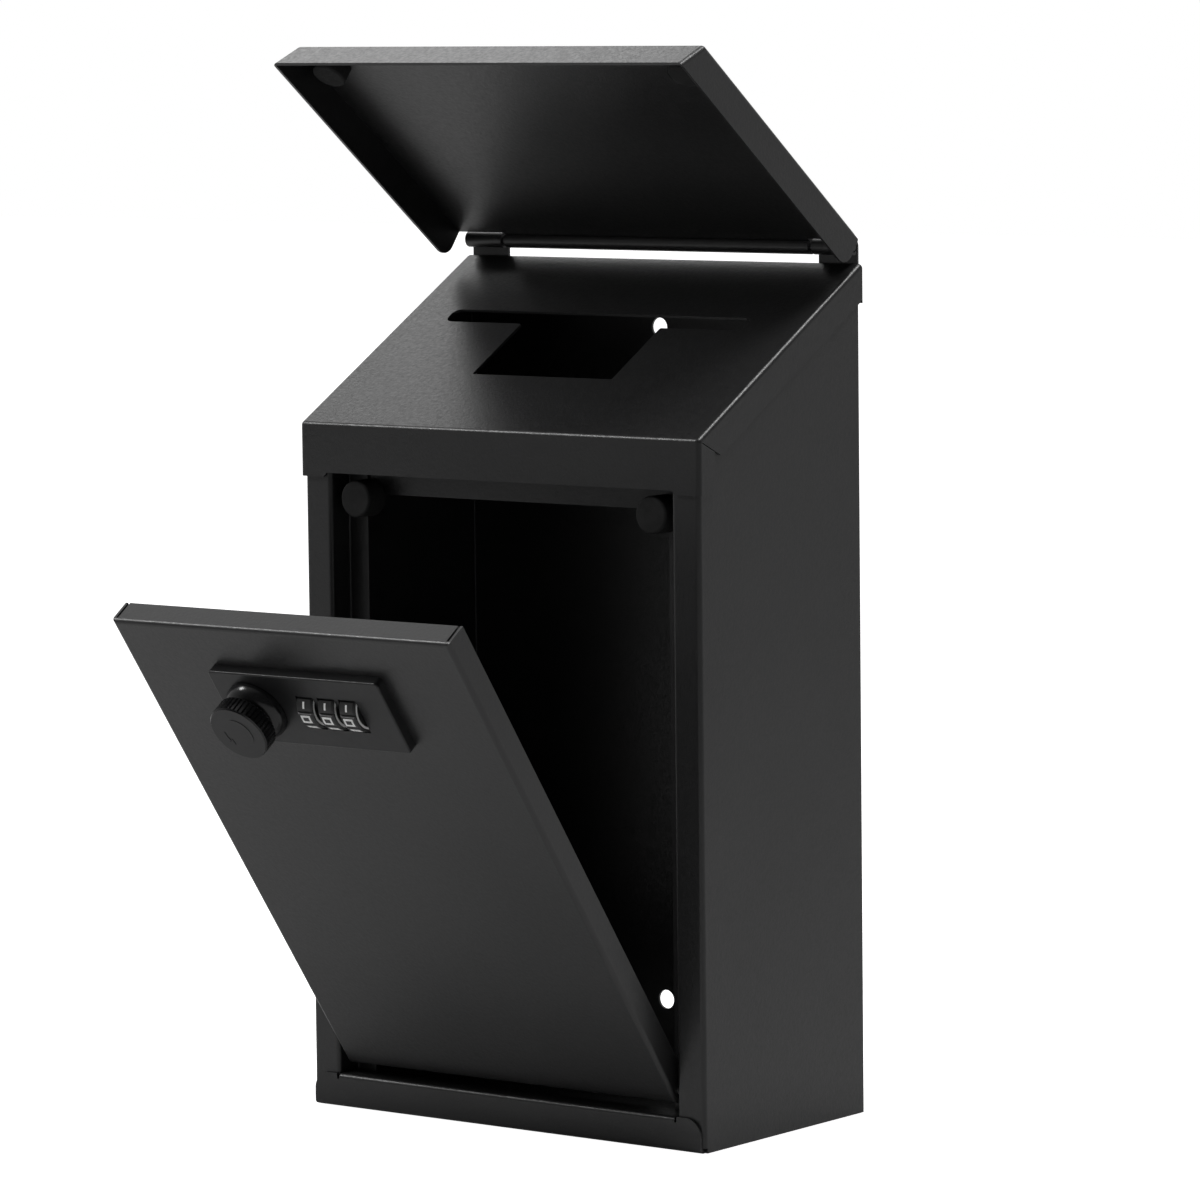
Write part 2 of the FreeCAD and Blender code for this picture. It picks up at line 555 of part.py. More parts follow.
# Sloping cap with its slot, lip, flanges, skirt and hinge knuckles
def build_top_cap():
    body = new_body("top_cap")
    fall = "tan(slope_angle)"
    profile = [
        (CAP_FRONT, LIP_LOW),
        (CAP_FRONT, "lip_top"),
        (CAP_BACK, CAP_TOP),
        (CAP_BACK, f"{CAP_TOP} - skirt_height"),
        (f"{CAP_BACK} - sheet", f"{CAP_TOP} - skirt_height"),
        (f"{CAP_BACK} - sheet", f"{CAP_TOP} - sheet*{fall} - {SLOPE_DROP}"),
        (f"{CAP_FRONT} + sheet", f"lip_top + sheet*{fall} - {SLOPE_DROP}"),
        (f"{CAP_FRONT} + sheet", LIP_LOW),
    ]
    pad(body, outline(sketch(body, "YZ_Plane"), profile), f"2*{CAP_SIDE}", midplane=True)
    inner = edge_names(body, lambda s, e: along(e, HINGE_LINE) and is_hollow(s, e))
    rounded(body, inner, "bend_radius")

    # Side flanges with the lip carried round the corners
    deep = "(cap_flange/cos(slope_angle))"
    meet = f"({deep}/(tan(mitre_angle) + {fall}))"
    flange = [
        (CAP_FRONT, LIP_LOW),
        (CAP_FRONT, "lip_top"),
        (CAP_BACK, CAP_TOP),
        (CAP_BACK, f"{CAP_TOP} - {deep}"),
        (f"{CAP_FRONT} + {meet}", f"lip_top - {meet}*tan(mitre_angle)"),
        (f"{CAP_FRONT} + lip_return", "lip_top - lip_return*tan(mitre_angle)"),
        (f"{CAP_FRONT} + lip_return", LIP_LOW),
    ]
    for at, backwards in ((CAP_SIDE, True), (f"-{CAP_SIDE}", False)):
        pad(body, outline(sketch(body, "YZ_Plane", ("0", "0", at)), flange), "sheet", backwards=backwards)
    slope = math.radians(sizes.slope_angle)
    folds = (HINGE_LINE, Vector(0, 0, 1), Vector(0, math.cos(slope), math.sin(slope)))
    outer = edge_names(
        body,
        lambda s, e: any(along(e, way) for way in folds)
        and is_sharp(s, e)
        and is_fold(s, e)
        and not is_hollow(s, e),
    )
    rounded(body, outer, "bend_radius + sheet")

    # Open mitres, step of the lip over the door, T slot
    start = f"({CAP_FRONT} + sheet + bend_radius)"
    mitre = outline(
        sketch(body, "YZ_Plane"),
        [
            (start, "lip_top - (sheet + bend_radius)*tan(mitre_angle)"),
            (f"{CAP_FRONT} + {meet}", f"lip_top - {meet}*tan(mitre_angle)"),
            (f"{CAP_FRONT} + {meet}", f"lip_top - {meet}*tan(mitre_angle) - mitre_gap"),
            (start, "lip_top - (sheet + bend_radius)*tan(mitre_angle) - mitre_gap"),
        ],
    )
    pocket(body, mitre)
    step_half = f"({OPENING} + sheet)"
    step = outline(
        sketch(body, "XZ_Plane"),
        [
            (f"-({step_half} + lip_step)", LIP_LOW),
            (f"-{step_half}", f"{LIP_LOW} + lip_step"),
            (step_half, f"{LIP_LOW} + lip_step"),
            (f"{step_half} + lip_step", LIP_LOW),
        ],
    )
    pocket(body, step)
    slot_near = "(slot_distance - slot_width/2)"
    slot_far = "(slot_distance + slot_width/2)"
    tee = outline(
        sketch(body, "XY_Plane", ("0", CAP_FRONT, "lip_top"), tilt="slope_angle"),
        [
            ("slot_across - stem_width/2", "stem_distance"),
            ("slot_across + stem_width/2", "stem_distance"),
            ("slot_across + stem_width/2", slot_near),
            ("slot_across + slot_length/2", slot_near),
            ("slot_across + slot_length/2", slot_far),
            ("slot_across - slot_length/2", slot_far),
            ("slot_across - slot_length/2", slot_near),
            ("slot_across - stem_width/2", slot_near),
        ],
    )
    pocket(body, tee, "2*sheet")
    upright = Vector(0, -math.sin(slope), math.cos(slope))
    ends = edge_names(body, lambda s, e: along(e, upright) and inside_slope(e) and on_slot_end(e))
    rounded(body, ends, "min(slot_end_round; 0.45*slot_width)")
    corners = edge_names(body, lambda s, e: along(e, upright) and inside_slope(e) and on_stem(e))
    rounded(body, corners, "stem_corner")

    # Two tabs rolled round the pin
    for side in ("", "-"):
        middle_x = f"{side}(({TAB_INNER} + {TAB_OUTER})/2)"
        at = ("0", "0", middle_x)
        tab = rectangle(
            sketch(body, "YZ_Plane", at),
            f"{CAP_BACK} - sheet",
            CAP_BACK,
            f"{CAP_TOP} - skirt_height/2",
            LID_AXIS_Z,
        )
        pad(body, tab, "tab_width", midplane=True)
        roll = sketch(body, "YZ_Plane", at)
        circle(roll, LID_AXIS_Y, LID_AXIS_Z, f"2*{ROLL_OUT}")
        circle(roll, LID_AXIS_Y, LID_AXIS_Z, f"2*{ROLL_IN}")
        pad(body, roll, "tab_width", midplane=True)
    slit = rectangle(
        sketch(body, "YZ_Plane"),
        f"{LID_AXIS_Y} + {ROLL_IN} - roll_slit",
        f"{LID_AXIS_Y} + {ROLL_IN}",
        f"{LID_AXIS_Z} - {ROLL_OUT}",
        LID_AXIS_Z,
    )
    pocket(body, slit)


def inside_slope(edge):
    """True for the edges of the slot, which lie well inside the slope."""
    point = middle(edge)
    return abs(point.x) < sizes.body_width / 2 - 2 * sizes.sheet


def on_slot_end(edge):
    """True for the corners of the crossbar's two ends."""
    return abs(abs(middle(edge).x - sizes.slot_across) - sizes.slot_length / 2) < 1e-3


def on_stem(edge):
    """True for the corners of the slot's stem."""
    return abs(abs(middle(edge).x - sizes.slot_across) - sizes.stem_width / 2) < 1e-3


# Rail behind the lip, which the lock's cam hooks behind
def build_top_stop_rail():
    body = new_body("top_stop_rail")
    face = f"({STOP_FACE} + sheet + weld_gap)"
    low = f"({LIP_LOW} + lip_step - stop_rail_show)"
    high = f"({low} + stop_rail_height)"
    profile = [
        (face, low),
        (face, high),
        (f"{face} + stop_rail_leg", high),
        (f"{face} + stop_rail_leg", f"{high} - sheet"),
        (f"{face} + sheet", f"{high} - sheet"),
        (f"{face} + sheet", low),
    ]
    length = f"2*({OPENING} - sheet)"
    pad(body, outline(sketch(body, "YZ_Plane"), profile), length, midplane=True)
    round_folds(body, HINGE_LINE)


# Rubber bumpers on the door stops
def build_door_bumpers():
    height = f"({STOP_FACE} - {FRONT} - door_recess - sheet - pad_gap)"
    across = f"({DOOR_SIDE} - sheet - pad_margin - pad_dia/2)"
    up = f"({DOOR_TOP} - sheet - pad_margin - pad_dia/2)"
    for label, side in (("door_bumper_left", "-"), ("door_bumper_right", "")):
        body = new_body(label)
        base = circle(sketch(body, "XZ_Plane", at_depth(STOP_FACE)), f"{side}{across}", up, "pad_dia")
        pad(body, base, height)
        rounded(body, edge_names(body, lambda s, e: on_front_rim(s, e)), "pad_round")


def on_front_rim(shape, edge):
    """True for the circular edge at the front of a piece that points forwards."""
    return isinstance(edge.Curve, Part.Circle) and abs(middle(edge).y - shape.BoundBox.YMin) < 1e-3


# Lid, in its own frame: origin on the hinge pin, panel level, front edge towards the front
def build_lid_pan():
    body = new_body("lid_pan")
    tip_y = f"(-{LID_REACH} - lid_front_flange*sin(slope_angle))"
    tip_z = f"({LID_TOP} - lid_front_flange*cos(slope_angle))"
    low_y = f"({tip_y} + sheet*cos(slope_angle))"
    low_z = f"({tip_z} - sheet*sin(slope_angle))"
    profile = [
        ("-lid_cut_back", LID_TOP),
        (f"-{LID_REACH}", LID_TOP),
        (tip_y, tip_z),
        (low_y, low_z),
        (f"sheet*tan((90 - slope_angle)/2) - {LID_REACH}", LID_UNDER),
        ("-lid_cut_back", LID_UNDER),
    ]
    pad(body, outline(sketch(body, "YZ_Plane"), profile), f"2*{LID_SIDE}", midplane=True)
    inner = edge_names(body, lambda s, e: along(e, HINGE_LINE) and is_hollow(s, e))
    rounded(body, inner, "bend_radius")

    flange = [
        ("-lid_cut_back", LID_TOP),
        (f"-{LID_REACH}", LID_TOP),
        (tip_y, tip_z),
        (low_y, low_z),
        ("-lid_cut_back", low_z),
    ]
    for at, backwards in ((LID_SIDE, True), (f"-{LID_SIDE}", False)):
        pad(body, outline(sketch(body, "YZ_Plane", ("0", "0", at)), flange), "sheet", backwards=backwards)
    slope = math.radians(sizes.slope_angle)
    folds = (HINGE_LINE, Vector(0, 1, 0), Vector(0, math.sin(slope), math.cos(slope)))
    outer = edge_names(
        body,
        lambda s, e: any(along(e, way) for way in folds)
        and is_sharp(s, e)
        and is_fold(s, e)
        and not is_hollow(s, e),
    )
    rounded(body, outer, "bend_radius + sheet")
    heels = edge_names(body, lambda s, e: along(e, HINGE_LINE) and on_lid_heel(e))
    rounded(body, heels, "lid_end_round")

    # Rear edge carried back between the cap's knuckles and rolled round the pin
    tongue = rectangle(sketch(body, "YZ_Plane"), "-2*lid_cut_back", "0", LID_UNDER, LID_TOP)
    pad(body, tongue, f"2*{ROLL_HALF}", midplane=True)
    roll = circle(sketch(body, "YZ_Plane"), "0", "0", f"2*{ROLL_OUT}")
    pad(body, roll, f"2*{ROLL_HALF}", midplane=True)
    bore = circle(sketch(body, "YZ_Plane"), "0", "0", f"2*{ROLL_IN}")
    pocket(body, bore, f"2*{ROLL_HALF}", midplane=True)
    slit = rectangle(
        sketch(body, "YZ_Plane"), f"-{ROLL_OUT}", "0", f"{LID_UNDER} - roll_slit", LID_UNDER
    )
    pocket(body, slit, f"2*{ROLL_HALF}", midplane=True)
    place(body, LID_AXIS_Y, LID_AXIS_Z, "slope_angle - lid_open")


def on_lid_heel(edge):
    """True for the lower rear edges of the lid's side flanges."""
    point = middle(edge)
    return abs(point.y + sizes.lid_cut_back) < 1e-3 and point.z < -2 * sizes.sheet


# Rubber bumpers under the front corners of the lid
def build_lid_bumpers():
    height = f"({AXIS_ABOVE_SLOPE} + {LID_UNDER} - pad_gap)"
    for label, side in (("lid_bumper_left", "-"), ("lid_bumper_right", "")):
        body = new_body(label)
        base = circle(
            sketch(body, "XY_Plane", ("0", "0", LID_UNDER)),
            f"{side}({LID_SIDE} - lid_pad_inset)",
            f"lid_pad_back - {LID_REACH}",
            "lid_pad_dia",
        )
        pad(body, base, height, backwards=True)
        rounded(body, edge_names(body, lambda s, e: on_lower_rim(s, e)), "pad_round")
        place(body, LID_AXIS_Y, LID_AXIS_Z, "slope_angle - lid_open")


def on_lower_rim(shape, edge):
    """True for the circular edge at the foot of a piece."""
    return isinstance(edge.Curve, Part.Circle) and abs(middle(edge).z - shape.BoundBox.ZMin) < 1e-3


def build_lid_hinge_pin():
    body = new_body("lid_hinge_pin")
    pin = circle(sketch(body, "YZ_Plane"), LID_AXIS_Y, LID_AXIS_Z, "pin_dia")
    pad(body, pin, f"2*{TAB_OUTER}", midplane=True)
    rims = edge_names(body, lambda s, e: isinstance(e.Curve, Part.Circle))
    bevelled(body, rims, "pin_dia/8")


# Rivets that carry the door in the jambs
def build_door_pivot_pins():
    outside = f"({OPENING} + sheet)"
    inside = f"({DOOR_SIDE} - sheet)"
    for label, side in (("door_pivot_pin_left", "-"), ("door_pivot_pin_right", "")):
        body = new_body(label)
        near = f"({inside} - pin_clear - pivot_head)"
        far = f"({outside} + pin_clear + pivot_head)"
        inward = side == "-"
        shaft = circle(
            sketch(body, "YZ_Plane", ("0", "0", f"{side}{near}")), DOOR_AXIS_Y, DOOR_AXIS_Z, "pivot_dia"
        )
        pad(body, shaft, f"{far} - {near}", backwards=inward)
        for start in (near, f"({far} - pivot_head)"):
            head = sketch(body, "YZ_Plane", ("0", "0", f"{side}{start}"))
            circle(head, DOOR_AXIS_Y, DOOR_AXIS_Z, "pivot_head_dia")
            pad(body, head, "pivot_head", backwards=inward)


# Door, in its own frame: origin on the pivots, upright
def build_door_pan():
    body = new_body("door_pan")
    back = f"({DOOR_FACE} + door_flange)"
    front_plane = ("0", "0", "pivot_back")
    back_plane = ("0", "0", f"-{back}")
    whole = sketch(body, "XZ_Plane", front_plane)
    rectangle(whole, f"-{DOOR_SIDE}", DOOR_SIDE, DOOR_LOW, DOOR_HIGH)
    pad(body, whole, "door_flange", backwards=True)
    hollow = rectangle(
        sketch(body, "XZ_Plane", back_plane),
        f"sheet - {DOOR_SIDE}",
        f"{DOOR_SIDE} - sheet",
        f"{DOOR_LOW} + sheet",
        f"{DOOR_HIGH} - sheet",
    )
    pocket(body, hollow, "door_flange - sheet", backwards=True)
    front_y = -sizes.pivot_back
    inner_y = front_y + sizes.sheet
    floor = edge_names(body, lambda s, e: is_hollow(s, e) and abs(middle(e).y - inner_y) < 1e-3)
    rounded(body, floor, "bend_radius")
    rim = edge_names(body, lambda s, e: abs(middle(e).y - front_y) < 1e-3)
    rounded(body, rim, "bend_radius + sheet")

    # Bottom flange cut back, side flanges rounded behind the pivots
    short = rectangle(
        sketch(body, "XZ_Plane", back_plane),
        f"sheet - {DOOR_SIDE}",
        f"{DOOR_SIDE} - sheet",
        f"{DOOR_LOW} - sheet",
        f"{DOOR_LOW} + 2*sheet",
    )
    pocket(body, short, "door_flange - door_bottom_flange", backwards=True)
    back_y = sizes.door_flange - sizes.pivot_back
    low_z = -(sizes.sheet + sizes.pivot_head_dia / 2 + sizes.pivot_room)
    heels = edge_names(body, lambda s, e: along(e, HINGE_LINE) and on_door_heel(e, back_y, low_z))
    rounded(body, heels, "door_heel_round")

    # Open seams at the four corners of the flanges
    seams = sketch(body, "XZ_Plane", back_plane)
    for side in ("", "-"):
        near = f"{side}({DOOR_SIDE} - sheet)"
        far = f"{side}({DOOR_SIDE} - sheet - door_seam)"
        rectangle(seams, near, far, f"{DOOR_HIGH} - 2*sheet", f"{DOOR_HIGH} + sheet")
        rectangle(seams, near, far, f"{DOOR_LOW} - sheet", f"{DOOR_LOW} + sheet")
    pocket(body, seams, "door_flange - sheet - bend_radius", backwards=True)

    # Pivot holes, lock cut-out, fixing holes
    pivots = circle(sketch(body, "YZ_Plane"), "0", "0", "pivot_dia + 2*pin_clear")
    pocket(body, pivots)
    openings = sketch(body, "XZ_Plane")
    half_x = "(block_width/2 + block_clear)"
    half_z = f"({BLOCK_RISE} + block_clear)"
    rectangle(openings, f"-{half_x}", half_x, f"{LOCK_Z} - {half_z}", f"{LOCK_Z} + {half_z}")
    circle(openings, FIXING_ACROSS, LOCK_Z, "screw_dia + 2*block_clear")
    circle(openings, f"-{FIXING_ACROSS}", LOCK_Z, "screw_dia + 2*block_clear")
    pocket(body, openings)
    hang_on_door(body)


def on_door_heel(edge, back_y, low_z):
    """True for the lower rear edges of the door's side flanges."""
    point = middle(edge)
    return abs(point.y - back_y) < 1e-3 and abs(point.z - low_z) < 1e-3


def hang_on_door(body):
    """Places a piece that was drawn in the door's own frame."""
    place(body, DOOR_AXIS_Y, DOOR_AXIS_Z, "door_open")


def dial_places():
    """Distances of the dials from the door's centre line, left to right."""
    offsets = [k - (DIAL_COUNT - 1) / 2 for k in range(DIAL_COUNT)]
    return [f"(dial_across + dial_pitch*({offset}))" for offset in offsets]


# Lock plate and the block behind it, with a slot for each dial
def build_lock_body():
    body = new_body("lock_body")
    plate = rectangle(
        sketch(body, "XZ_Plane", at_depth(DOOR_FACE)),
        "-plate_width/2",
        "plate_width/2",
        f"{LOCK_Z} - plate_height/2",
        f"{LOCK_Z} + plate_height/2",
    )
    pad(body, plate, "plate_thick")
    rounded(body, edge_names(body, lambda s, e: along(e, Vector(0, 1, 0))), "plate_corner")
    front = edge_names(body, lambda s, e: abs(middle(e).y - s.BoundBox.YMin) < 1e-3)
    rounded(body, front, "plate_edge")
    block = rectangle(
        sketch(body, "XZ_Plane", at_depth(DOOR_FACE)),
        "-block_width/2",
        "block_width/2",
        f"{LOCK_Z} - {BLOCK_RISE}",
        f"{LOCK_Z} + {BLOCK_RISE}",
    )
    pad(body, block, f"{BLOCK_BACK} - {DOOR_FACE}", backwards=True)

    # Dial slots, open to the back, and the bore for their axle
    for across in dial_places():
        drum = circle(sketch(body, "YZ_Plane", ("0", "0", across)), DIAL_Y, LOCK_Z, f"2*{CAVITY_R}")
        pocket(body, drum, f"2*{WINDOW_HALF}", midplane=True)
        rear = rectangle(
            sketch(body, "YZ_Plane", ("0", "0", across)),
            DIAL_Y,
            f"{BLOCK_BACK} + sheet",
            f"{LOCK_Z} - {CAVITY_R}",
            f"{LOCK_Z} + {CAVITY_R}",
        )
        pocket(body, rear, f"2*{WINDOW_HALF}", midplane=True)
    bore_start = f"(dial_across - {CAVITY_HALF} - axle_seat)"
    axle = circle(
        sketch(body, "YZ_Plane", ("0", "0", bore_start)), DIAL_Y, LOCK_Z, "axle_dia + 2*pin_clear"
    )
    pocket(body, axle, "block_width", backwards=True)

    # Seats in the back for the detent spring and the code lever
    seat = rectangle(
        sketch(body, "XZ_Plane", at_depth(BLOCK_BACK)),
        f"dial_across - {CAVITY_HALF} - spring_seat",
        f"dial_across + {CAVITY_HALF} + spring_seat",
        f"{LOCK_Z} + spring_low - spring_gap",
        f"{LOCK_Z} + spring_high + spring_gap",
    )
    pocket(body, seat, "spring_thick + 2*spring_gap", backwards=True)
    foot = rectangle(
        sketch(body, "XZ_Plane", at_depth(BLOCK_BACK)),
        "lever_across - lever_foot_length/2 - lever_travel - lever_clear",
        "lever_across + lever_foot_length/2 + lever_clear",
        f"{LOCK_Z} - lever_drop - lever_foot_width/2 - lever_clear",
        f"{LOCK_Z} - lever_drop + lever_foot_width/2 + lever_clear",
    )
    pocket(body, foot, "lever_foot + 2*lever_clear", backwards=True)

    # Spindle bore and screw holes
    bore = circle(sketch(body, "XZ_Plane"), "knob_across", LOCK_Z, "spindle_dia + 2*pin_clear")
    pocket(body, bore)
    screws = sketch(body, "XZ_Plane", at_depth(BLOCK_BACK))
    for x, z in cover_screw_places():
        circle(screws, x, z, "screw_dia")
    pocket(body, screws, "cover_screw_depth", backwards=True)
    fixings = sketch(body, "XZ_Plane", at_depth(DOOR_FACE))
    for x in (FIXING_ACROSS, f"-{FIXING_ACROSS}"):
        circle(fixings, x, LOCK_Z, "screw_dia")
    pocket(body, fixings, "fixing_depth", backwards=True)
    hang_on_door(body)


def cover_screw_places():
    """Cover screws: two on the right, one on the lower left, clear of the cam's swing."""
    across = "(block_width/2 - cover_screw_edge)"
    rise = f"({BLOCK_RISE} - cover_screw_edge)"
    upper = f"{LOCK_Z} + {rise}"
    lower = f"{LOCK_Z} - {rise}"
    return [(across, upper), (across, lower), (f"-{across}", lower)]


def build_lock_rear_cover():
    body = new_body("lock_rear_cover")
    plate = rectangle(
        sketch(body, "XZ_Plane", at_depth(BLOCK_BACK)),
        "-block_width/2",
        "block_width/2",
        f"{LOCK_Z} - {BLOCK_RISE}",
        f"{LOCK_Z} + {BLOCK_RISE}",
    )
    pad(body, plate, "cover_thick", backwards=True)
    holes = sketch(body, "XZ_Plane")
    circle(holes, "knob_across", LOCK_Z, "spindle_dia + 2*pin_clear")
    for x, z in cover_screw_places():
        circle(holes, x, z, "screw_dia + 2*pin_clear")
    rectangle(
        holes,
        "lever_across - lever_length/2 - lever_travel - lever_clear",
        "lever_across + lever_length/2 + lever_clear",
        f"{LOCK_Z} - lever_drop - lever_width/2 - lever_clear",
        f"{LOCK_Z} - lever_drop + lever_width/2 + lever_clear",
    )
    pocket(body, holes)
    hang_on_door(body)


def build_screws(label, places, seat, depth):
    """A set of like screws: heads behind the seat, shafts forwards of it."""
    body = new_body(label)
    shafts = sketch(body, "XZ_Plane", at_depth(seat))
    heads = sketch(body, "XZ_Plane", at_depth(seat))
    for x, z in places:
        circle(shafts, x, z, "screw_dia - 2*pin_clear")
        circle(heads, x, z, "screw_head")
    pad(body, heads, "screw_head_thick", backwards=True)
    pad(body, shafts, depth)
    hang_on_door(body)


def build_lock_screws():
    fixings = [(FIXING_ACROSS, LOCK_Z), (f"-{FIXING_ACROSS}", LOCK_Z)]
    build_screws("lock_fixing_screws", fixings, DOOR_INNER, "sheet + fixing_depth - pin_clear")
    covers = cover_screw_places()
    build_screws("lock_cover_screws", covers, COVER_BACK, "cover_thick + cover_screw_depth - pin_clear")


def build_number_dials():
    for number, across in enumerate(dial_places(), start=1):
        body = new_body(f"number_dial_{number}")
        middle_plane = ("0", "0", across)
        disc = circle(sketch(body, "YZ_Plane", middle_plane), DIAL_Y, LOCK_Z, "dial_dia")
        pad(body, disc, "dial_width", midplane=True)
        rims = edge_names(body, lambda s, e: isinstance(e.Curve, Part.Circle))
        bevelled(body, rims, "dial_chamfer")
        bore = circle(sketch(body, "YZ_Plane", middle_plane), DIAL_Y, LOCK_Z, "axle_dia + 2*pin_clear")
        pocket(body, bore, "2*dial_width", midplane=True)

        # Detent notches, half way between the numbers
        notch = outline(
            sketch(body, "YZ_Plane", middle_plane),
            [
                (DIAL_Y, f"{LOCK_Z} + dial_dia/2 - notch_depth"),
                (f"{DIAL_Y} + 2*notch_depth", f"{LOCK_Z} + dial_dia/2 + notch_depth"),
                (f"{DIAL_Y} - 2*notch_depth", f"{LOCK_Z} + dial_dia/2 + notch_depth"),
            ],
        )
        first = pocket(body, notch, "2*dial_width", midplane=True)
        centre = sketch(body, "YZ_Plane", (DIAL_Y, LOCK_Z, "0"))
        polar(body, [first], centre, "N_Axis", str(DIGITS))
        hang_on_door(body)


def build_dial_axle():
    body = new_body("dial_axle")
    start = f"(dial_across - {CAVITY_HALF} - axle_seat + pin_clear)"
    rod = circle(sketch(body, "YZ_Plane", ("0", "0", start)), DIAL_Y, LOCK_Z, "axle_dia")
    pad(body, rod, f"2*({CAVITY_HALF} + axle_seat - pin_clear)")
    hang_on_door(body)


# Leaf with a finger for each dial, clamped under the rear cover
def build_dial_detent_spring():
    body = new_body("dial_detent_spring")
    back = f"({BLOCK_BACK} - spring_gap)"
    strip_half = f"({CAVITY_HALF} + spring_seat - spring_gap)"
    tip_r = "(dial_dia/2 + spring_gap + spring_tip/2)"
    tip_z = f"({LOCK_Z} + {tip_r}*sin({HALF_DIGIT}))"
    comb = [
        (f"dial_across + {strip_half}", f"{LOCK_Z} + spring_low"),
        (f"dial_across + {strip_half}", f"{LOCK_Z} + spring_high"),
        (f"dial_across - {strip_half}", f"{LOCK_Z} + spring_high"),
        (f"dial_across - {strip_half}", f"{LOCK_Z} + spring_low"),
    ]
    for across in dial_places():
        comb.append((f"{across} - spring_finger/2", f"{LOCK_Z} + spring_low"))
        comb.append((f"{across} - spring_finger/2", tip_z))
        comb.append((f"{across} + spring_finger/2", tip_z))
        comb.append((f"{across} + spring_finger/2", f"{LOCK_Z} + spring_low"))
    pad(body, outline(sketch(body, "XZ_Plane", at_depth(back)), comb), "spring_thick")
    for across in dial_places():
        tip = sketch(body, "YZ_Plane", ("0", "0", across))
        circle(tip, f"{DIAL_Y} + {tip_r}*cos({HALF_DIGIT})", tip_z, "spring_tip")
        pad(body, tip, "spring_finger", midplane=True)
    hang_on_door(body)


# Lever that slides in the rear cover to set a new code
def build_code_change_lever():
    body = new_body("code_change_lever")
    inner = f"({BLOCK_BACK} - lever_clear)"
    foot = rectangle(
        sketch(body, "XZ_Plane", at_depth(inner)),
        "lever_across - lever_foot_length/2",
        "lever_across + lever_foot_length/2",
        f"{LOCK_Z} - lever_drop - lever_foot_width/2",
        f"{LOCK_Z} - lever_drop + lever_foot_width/2",
    )
    pad(body, foot, "lever_foot")
    thumb = rectangle(
        sketch(body, "XZ_Plane", at_depth(inner)),
        "lever_across - lever_length/2",
        "lever_across + lever_length/2",
        f"{LOCK_Z} - lever_drop - lever_width/2",
        f"{LOCK_Z} - lever_drop + lever_width/2",
    )
    pad(body, thumb, "lever_clear + cover_thick + lever_out", backwards=True)
    hang_on_door(body)


# Knob with a rounded collar, a waist and a fluted grip
def build_lock_knob():
    body = new_body("lock_knob")
    rear = f"({PLATE_FACE} - knob_gap)"
    collar_front = f"({rear} - collar_height)"
    grip_rear = f"({collar_front} - waist_height)"
    grip_front = f"({grip_rear} - grip_height)"
    axis = ("knob_across", "0", LOCK_Z)
    profile = [
        ("0", rear),
        ("collar_dia/2", rear),
        ("collar_dia/2", f"{collar_front} + collar_height/2"),
        ("waist_dia/2", collar_front),
        ("waist_dia/2", grip_rear),
        ("grip_dia/2", grip_rear),
        ("grip_dia/2", grip_front),
        ("0", grip_front),
    ]
    half = outline(sketch(body, "XY_Plane", axis), profile)
    turned(body, half, "V_Axis")
    shoulder = edge_names(body, lambda s, e: on_collar_shoulder(s, e))
    rounded(body, shoulder, "collar_height")
    grip = edge_names(body, lambda s, e: is_rim(e, sizes.grip_dia))
    bevelled(body, grip, "grip_edge")
    flute = outline(
        sketch(body, "XZ_Plane", ("knob_across", LOCK_Z, f"grip_edge - ({grip_rear})")),
        [
            ("grip_dia/2 - knurl_depth", "0"),
            ("grip_dia/2 + knurl_depth", "-knurl_width"),
            ("grip_dia/2 + knurl_depth", "knurl_width"),
        ],
    )
    first = pocket(body, flute, "grip_height - 2*grip_edge", backwards=True)
    polar(body, [first], half, "V_Axis", "knurl_count")
    socket = circle(
        sketch(body, "XZ_Plane", at_depth(rear)), "knob_across", LOCK_Z, "spindle_dia + 2*pin_clear"
    )
    pocket(body, socket, "spindle_socket + pin_clear", backwards=True)
    hang_on_door(body)


def is_rim(edge, diameter):
    """True for a circular edge of a diameter."""
    return isinstance(edge.Curve, Part.Circle) and abs(2 * edge.Curve.Radius - diameter) < 1e-3


def on_collar_shoulder(shape, edge):
    """True for the edge where the collar's side turns into its rounded front."""
    return is_rim(edge, sizes.collar_dia) and abs(middle(edge).y - shape.BoundBox.YMax) > 1e-3


# Spindle from the knob through the lock, squared for the cam
def build_knob_spindle():
    body = new_body("knob_spindle")
    shoulder = sketch(body, "XZ_Plane", at_depth(CAM_FRONT))
    circle(shoulder, "knob_across", LOCK_Z, "spindle_dia")
    length = f"{CAM_FRONT} - {PLATE_FACE} + knob_gap + spindle_socket"
    pad(body, shoulder, length)
    square = rectangle(
        sketch(body, "XZ_Plane", at_depth(CAM_FRONT)),
        "knob_across - square_size/2",
        "knob_across + square_size/2",
        f"{LOCK_Z} - square_size/2",
        f"{LOCK_Z} + square_size/2",
    )
    pad(body, square, "cam_thick", backwards=True)
    thread = circle(sketch(body, "XZ_Plane", at_depth(CAM_BACK)), "knob_across", LOCK_Z, "cam_screw_dia")
    pocket(body, thread, "cam_screw_length", backwards=True)
    hang_on_door(body)


